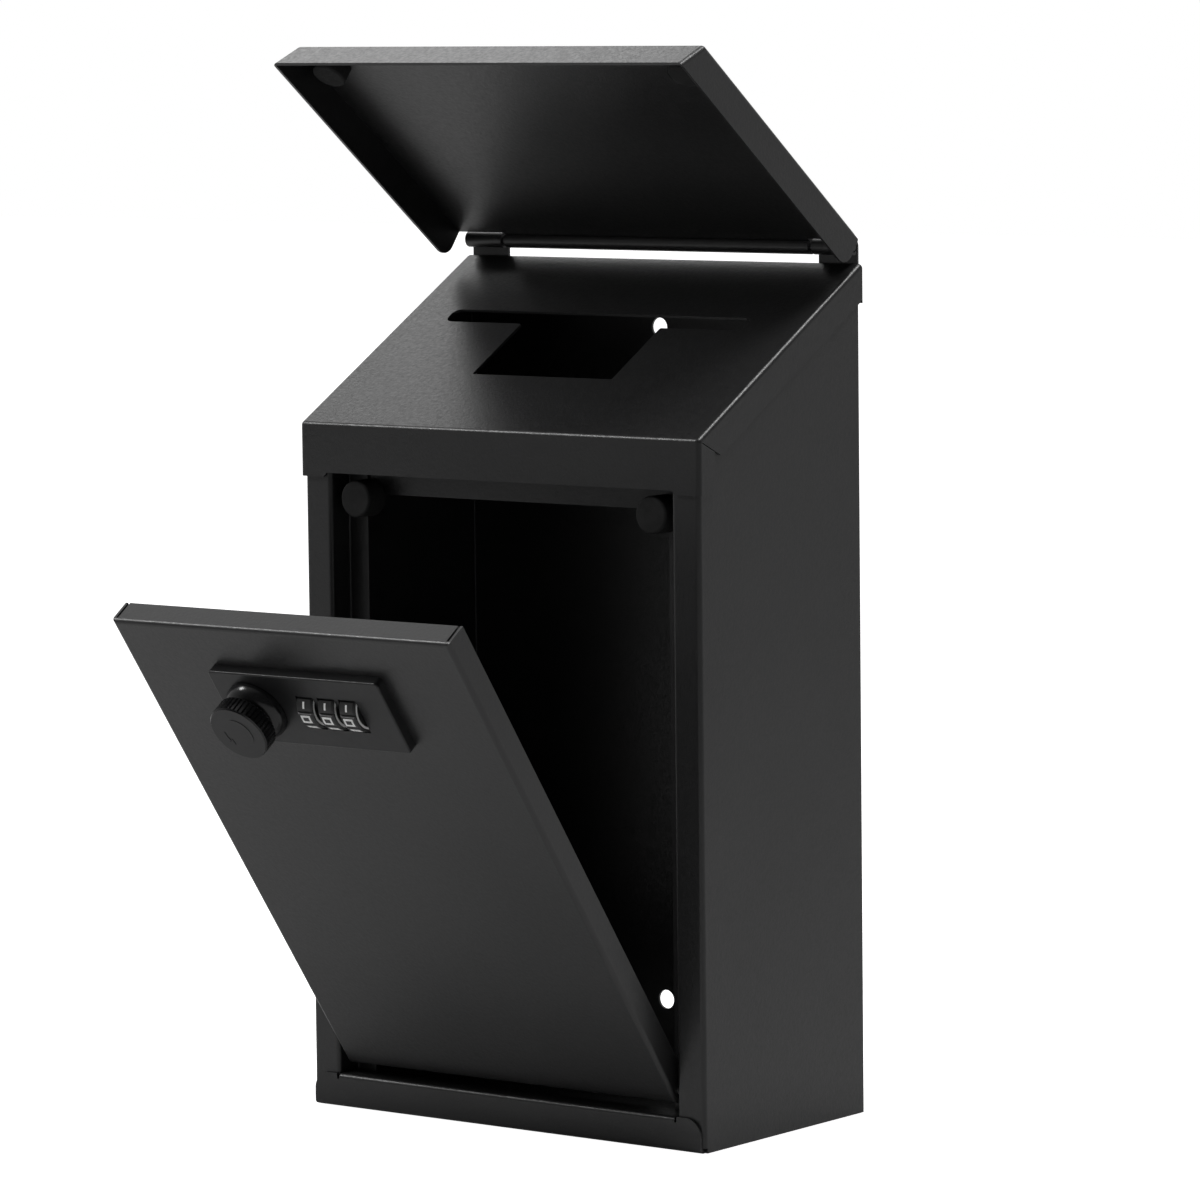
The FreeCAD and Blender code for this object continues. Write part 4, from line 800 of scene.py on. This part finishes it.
@dataclass
class PanScrew:
    """A pan-head screw with a cross recess, in millimetres, along +Z with the head's seat at 0.

    The shares are parts of the head's size, and at the tip of the shaft's radius.
    """

    head_radius: float
    head_height: float
    shaft_radius: float
    shaft_length: float
    sides: int = 32
    dome_parts: int = 4
    crown_share: float = 0.45
    flat_share: float = 0.55
    tip_share: float = 0.7
    tip_height_share: float = 0.4
    recess_reach_share: float = 0.6
    recess_width_share: float = 0.2
    recess_depth_share: float = 0.6

    def profile(self) -> list[Point]:
        """The turned outline, from the shaft's tip to the head's crown.

        Returns:
            Radius and height of each point.
        """
        crown = self.head_height * self.crown_share
        flat = self.head_radius * self.flat_share
        arc = [QUARTER_TURN * k / self.dome_parts for k in range(self.dome_parts + 1)]
        dome = [(flat + (self.head_radius - flat) * math.cos(a),
                 self.head_height - crown + crown * math.sin(a)) for a in arc]
        shaft = [(0.0, -self.shaft_length),
                 (self.shaft_radius * self.tip_share, -self.shaft_length),
                 (self.shaft_radius, self.shaft_radius * self.tip_height_share - self.shaft_length),
                 (self.shaft_radius, 0.0)]
        return [*shaft, (self.head_radius, 0.0), *dome, (0.0, self.head_height)]

    def turned(self) -> bmesh.types.BMesh:
        """The screw without its recess.

        Returns:
            The outline turned about Z.
        """
        work = bmesh.new()
        verts = [work.verts.new((r, 0.0, h)) for r, h in self.profile()]
        edges = [work.edges.new(pair) for pair in zip(verts, verts[1:])]
        bmesh.ops.spin(work, geom=verts + edges, cent=(0, 0, 0), axis=(0, 0, 1), angle=2 * math.pi,
                       steps=self.sides, use_duplicate=False)
        bmesh.ops.remove_doubles(work, verts=work.verts, dist=WELD_MM)
        return work

    def cross(self) -> bmesh.types.BMesh:
        """The cutter of the cross recess.

        Returns:
            Two crossed bars, half sunk in the head.
        """
        length = 2 * self.head_radius * self.recess_reach_share
        width = 2 * self.head_radius * self.recess_width_share
        depth = 2 * self.head_height * self.recess_depth_share
        work = bmesh.new()
        for size in ((length, width, depth), (width, length, depth)):
            place = Matrix.Translation((0, 0, self.head_height)) @ Matrix.Diagonal((*size, 1.0))
            bmesh.ops.create_cube(work, size=1.0, matrix=place)
        return work

    def mesh(self) -> bpy.types.Mesh:
        """The whole screw.

        Returns:
            The mesh, in millimetres.
        """
        blank = bpy.data.objects.new("screw_blank", mesh_from(self.turned(), "screw_blank"))
        cutter = bpy.data.objects.new("screw_cutter", mesh_from(self.cross(), "screw_cutter"))
        for item in (blank, cutter):
            bpy.context.scene.collection.objects.link(item)
        cut = blank.modifiers.new("recess", "BOOLEAN")
        cut.operation = "DIFFERENCE"
        cut.solver = "EXACT"
        cut.use_self = True
        cut.object = cutter
        shaped = blank.evaluated_get(bpy.context.evaluated_depsgraph_get())
        mesh = bpy.data.meshes.new_from_object(shaped)
        for item in (blank, cutter):
            bpy.data.objects.remove(item)
        return mesh


@dataclass
class ScrewSet:
    """Screws that stand for a CAD node of plain ones, each where the node has one, in millimetres."""

    node: str
    body: Body
    head_height: float
    shaft_radius: float

    def build(self, steel: bpy.types.Material) -> None:
        """Builds the screws in place of the node.

        Args:
            steel: Material of the screws.
        """
        place = door_frame()
        whole = bmesh.new()
        for low, high in self.solids(place.inverted()):
            radius = (high.x - low.x) / 2
            length = high.y - low.y - self.head_height
            part = PanScrew(radius, self.head_height, self.shaft_radius, length).mesh()
            seat = Vector(((low.x + high.x) / 2, high.y - self.head_height, (low.z + high.z) / 2))
            part.transform(Matrix.Translation(seat) @ Matrix.Rotation(-QUARTER_TURN, 4, "X"))
            whole.from_mesh(part)
            bpy.data.meshes.remove(part)
        whole.transform(place @ Matrix.Scale(MM, 4))
        name = f"{self.node}_cross_recess"
        piece = new_piece(name, mesh_from(whole, name), steel)
        carry(piece, self.body)
        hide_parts(self.node)

    def solids(self, to_door: Matrix) -> list[tuple[Vector, Vector]]:
        """Boxes of the node's separate solids.

        Args:
            to_door: Matrix from the scene to the door's frame.

        Returns:
            Lowest and highest corner of each, in millimetres of the door's frame.
        """
        node = frame["nodes"][self.node]
        work = bmesh.new()
        work.from_mesh(node.data)
        work.transform(Matrix.Scale(1 / MM, 4) @ to_door @ node.matrix_world)
        bmesh.ops.remove_doubles(work, verts=work.verts, dist=WELD_MM)
        left = set(work.verts)
        boxes = []
        while left:
            group = {left.pop()}
            edge = set(group)
            while edge:
                edge = {e.other_vert(v) for v in edge for e in v.link_edges} - group
                group |= edge
            left -= group
            spans = tuple(zip(*(v.co for v in group)))
            boxes.append((Vector(map(min, spans)), Vector(map(max, spans))))
        work.free()
        return sorted(boxes, key=lambda box: tuple(box[0]))


@dataclass
class CombinationLock:
    """Lock body, cover, cam and knob on the door, with the screws and the knob's turning mark.

    The mark's sizes are in millimetres and degrees.
    """

    satin: tuple[str, ...] = ("lock_body", "lock_rear_cover")
    plastic: tuple[str, ...] = ("code_change_lever",)
    steel: tuple[str, ...] = ("dial_axle", "dial_detent_spring", "knob_spindle", "lock_cam")
    knob: str = "lock_knob"
    turn: str = "knob_turn"
    screws: tuple[ScrewSet, ...] = (
        ScrewSet("cam_screw", Body.KNOB, head_height=1.8, shaft_radius=1.5),
        ScrewSet("lock_cover_screws", Body.DOOR, head_height=1.5, shaft_radius=1.2),
        ScrewSet("lock_fixing_screws", Body.DOOR, head_height=1.5, shaft_radius=1.2),
    )
    mark_radius: float = 4.75
    mark_start: float = 95.0
    mark_end: float = -32.0
    back_mark_start: float = 178.0
    back_mark_end: float = 222.0
    mark_pen: float = 0.5
    mark_height: float = 0.12
    mark_sunk: float = 0.03
    mark_step: float = 6.0
    arrow_size: float = 1.3
    arrow_spread: float = 0.6

    def build(self, satin: bpy.types.Material, gloss: Finish, plastic: bpy.types.Material,
              steel: bpy.types.Material) -> None:
        """Dresses the lock and adds the screws and the knob's mark.

        Args:
            satin: Material of the lock body.
            gloss: Finish of the knob, matte on its face.
            plastic: Material of the code lever.
            steel: Material of the works.
        """
        dress(self.satin, satin)
        dress((self.knob,), gloss.material(self.face_way()))
        dress(self.plastic, plastic)
        dress(self.steel, steel)
        for screws in self.screws:
            screws.build(steel)
        mark = self.turning_mark(satin)
        carry(mark, Body.KNOB)

    def outward(self) -> Vector:
        """The way that the knob's face looks, in the scene."""
        return Vector(joint(self.turn)["axis"])

    def face_way(self) -> Vector:
        """The way that the knob's face looks, in the knob's own frame."""
        return frame["nodes"][self.knob].matrix_world.to_3x3().inverted() @ self.outward()

    def face_frame(self) -> Matrix:
        """Frame on the middle of the knob's face: X right, Z up, -Y outwards.

        Returns:
            Matrix from that frame to the scene.
        """
        foot = Vector(joint(self.turn)["pos_m"])
        outward = self.outward()
        place = door_frame()
        place.translation = foot + outward * reach(self.knob, foot, outward)
        return place

    def arc(self, start: float, end: float) -> list[Point]:
        """Points along the mark's circle.

        Args:
            start: First angle, degrees from the right.
            end: Last angle.

        Returns:
            The points, in millimetres.
        """
        count = round(abs(end - start) / self.mark_step)
        angles = [math.radians(start + (end - start) * k / count) for k in range(count + 1)]
        return [(self.mark_radius * math.cos(a), self.mark_radius * math.sin(a)) for a in angles]

    def turning_mark(self, satin: bpy.types.Material) -> bpy.types.Object:
        """The raised arcs on the knob's face, one of them with an arrow head.

        Args:
            satin: Material of the mark.

        Returns:
            The piece.
        """
        arcs = ((self.mark_start, self.mark_end), (self.back_mark_start, self.back_mark_end))
        strokes = [Stroke(self.arc(start, end), self.mark_pen) for start, end in arcs]
        tip = math.radians(self.back_mark_end)
        out = Vector((math.cos(tip), math.sin(tip)))
        along = Vector((-out.y, out.x))
        end = out * self.mark_radius + along * self.arrow_size / 2
        spreads = (self.arrow_spread, -self.arrow_spread)
        barbs = [end - along * self.arrow_size + out * self.arrow_size * spread for spread in spreads]
        strokes.append(Stroke([barbs[0], end, barbs[1]], self.mark_pen))
        work = relief(strokes, self.mark_radius, self.mark_height + self.mark_sunk)
        for vert in work.verts:
            vert.co = (vert.co.x, self.mark_sunk - vert.co.z, vert.co.y)
        work.transform(self.face_frame() @ Matrix.Scale(MM, 4))
        return new_piece("knob_turning_mark", mesh_from(work, "knob_turning_mark"), satin)


@dataclass
class Door:
    """Door pan."""

    sheet: str = "door_pan"

    def build(self, coat: bpy.types.Material) -> None:
        """Dresses the door."""
        dress((self.sheet,), coat)


@dataclass(frozen=True)
class Softbox:
    """A soft lamp of the studio, in metres and watts."""

    name: str
    place: Place
    aim: Place
    width: float
    height: float
    power: float

    def build(self) -> None:
        """Hangs the lamp."""
        lamp = bpy.data.lights.new(self.name, "AREA")
        lamp.shape = "RECTANGLE"
        lamp.size = self.width
        lamp.size_y = self.height
        lamp.energy = self.power
        holder = bpy.data.objects.new(self.name, lamp)
        holder.location = self.place
        way = Vector(self.aim) - Vector(self.place)
        holder.rotation_euler = way.to_track_quat("-Z", "Y").to_euler()
        bpy.context.scene.collection.objects.link(holder)
        log.info("hung %s", self.name)


@dataclass
class Studio:
    """White surroundings, pale floor and stand, soft lamps and the camera, in metres and degrees."""

    floor_half: float = 6.0
    floor_tone: Colour = (0.68, 0.68, 0.68, 1.0)
    floor_rough: float = 0.9
    stand_low: Place = (-0.1, -0.066, -0.052)
    stand_high: Place = (0.1, 0.07, -0.0004)
    bright_side: Place = (-0.65, 0.45, 0.6)
    surround: float = 0.11
    surround_slope: float = 0.74
    surround_low: float = 0.05
    surround_high: float = 0.75
    azimuth: float = 37.4902
    elevation: float = 5.7746
    roll: float = -0.647
    distance: float = 1.7427945
    slide: float = 0.0038142
    rise: float = 0.0160206
    target: Place = (0.0, 0.0015, 0.130)
    focal_pixels: float = 6114.1
    picture_pixels: float = 1200.0
    sensor_mm: float = 36.0
    clip_share: float = 0.01
    lamps: tuple[Softbox, ...] = (
        Softbox("back_softbox", (-1.04, 0.72, 1.18), (0.0, 0.0, 0.2), width=0.5, height=0.5, power=1.6),
        Softbox("right_backdrop", (1.34, 1.74, 0.5), (0.0, 0.0, 0.3), width=1.6, height=1.0, power=1.3),
        Softbox("right_softbox", (0.5, 0.33, 1.6), (0.0, 0.0, 0.2), width=0.6, height=0.6, power=14.0),
        Softbox("left_softbox", (-0.8, -0.64, 1.0), (0.0, 0.0, 0.15), width=0.3, height=0.3, power=5.8),
    )

    def build(self) -> None:
        """Sets up the whole studio."""
        self.surroundings()
        self.floor()
        for lamp in self.lamps:
            lamp.build()
        self.camera()
        bpy.context.scene.view_settings.view_transform = "Standard"

    def surroundings(self) -> None:
        """White to the camera, and as a light bright at the back left and dark at the front right."""
        world = bpy.data.worlds.new("surroundings")
        bpy.context.scene.world = world
        bench = NodeBench(world, Shader.SKY)
        agree = bench.dot(bench.coordinates.outputs["Generated"], Vector(self.bright_side).normalized())
        levels = (self.surround_low, self.surround_high)
        ends = tuple((level - self.surround) / self.surround_slope for level in levels)
        light = bench.remap(agree, ends, levels)
        bench.fill("Color", WHITE)
        bench.fill("Strength", bench.maths("MAXIMUM", light, bench.camera_rays()))
        log.info("lit the surroundings")

    def floor(self) -> None:
        """A pale floor with a low stand for the box, over whose front edge the open door can hang."""
        low, high = Vector(self.stand_low), Vector(self.stand_high)
        work = bmesh.new()
        bmesh.ops.create_grid(work, x_segments=1, y_segments=1, size=self.floor_half)
        bmesh.ops.translate(work, vec=(0, 0, low.z), verts=work.verts)
        block = Matrix.Translation((low + high) / 2) @ Matrix.Diagonal((*(high - low), 1.0))
        bmesh.ops.create_cube(work, size=1.0, matrix=block)
        material = bpy.data.materials.new("pale_floor")
        bench = NodeBench(material, Shader.SURFACE)
        bench.fill("Base Color", self.floor_tone)
        bench.fill("Roughness", self.floor_rough)
        bench.fill("Specular IOR Level", 0.0)
        bench.fill("Emission Color", WHITE)
        bench.fill("Emission Strength", bench.camera_rays())
        new_piece("floor", mesh_from(work, "floor"), material)
        log.info("laid the floor")

    def camera(self) -> None:
        """Places the camera where the picture was taken from."""
        turn, lift, roll = (math.radians(a) for a in (self.azimuth, self.elevation, self.roll))
        back = Vector((math.sin(turn) * math.cos(lift), -math.cos(turn) * math.cos(lift), math.sin(lift)))
        level = Vector((math.cos(turn), math.sin(turn), 0.0))
        upright = back.cross(level)
        right = level * math.cos(roll) + upright * math.sin(roll)
        up = upright * math.cos(roll) - level * math.sin(roll)
        eye = Vector(self.target) + back * self.distance + right * self.slide + up * self.rise
        lens = bpy.data.cameras.new("camera")
        lens.sensor_width = self.sensor_mm
        lens.lens = self.focal_pixels / self.picture_pixels * self.sensor_mm
        lens.clip_start = self.distance * self.clip_share
        camera = bpy.data.objects.new("camera", lens)
        turned = Matrix((right, up, back)).transposed().to_4x4()
        camera.matrix_world = Matrix.Translation(eye) @ turned
        bpy.context.scene.collection.objects.link(camera)
        bpy.context.scene.camera = camera
        log.info("placed the camera")


def main() -> None:
    """Builds every sub-assembly in order."""
    logging.basicConfig(level=logging.INFO, format="%(name)s: %(message)s")
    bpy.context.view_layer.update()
    coat = POWDER_COAT.material()
    rubber = BUMPER_RUBBER.material()
    steel = ZINC_STEEL.material()
    plastic = DIAL_PLASTIC.material()
    Shell().build(coat, rubber, steel)
    Lid().build(coat, rubber)
    Door().build(coat)
    CombinationLock().build(SATIN_BLACK.material(), GLOSS_BLACK, plastic, steel)
    NumberDials().build(plastic, NUMBER_AND_HIGHLIGHT_WHITE.material())
    Studio().build()
    bpy.context.view_layer.update()


if __name__ == "__main__":
    main()
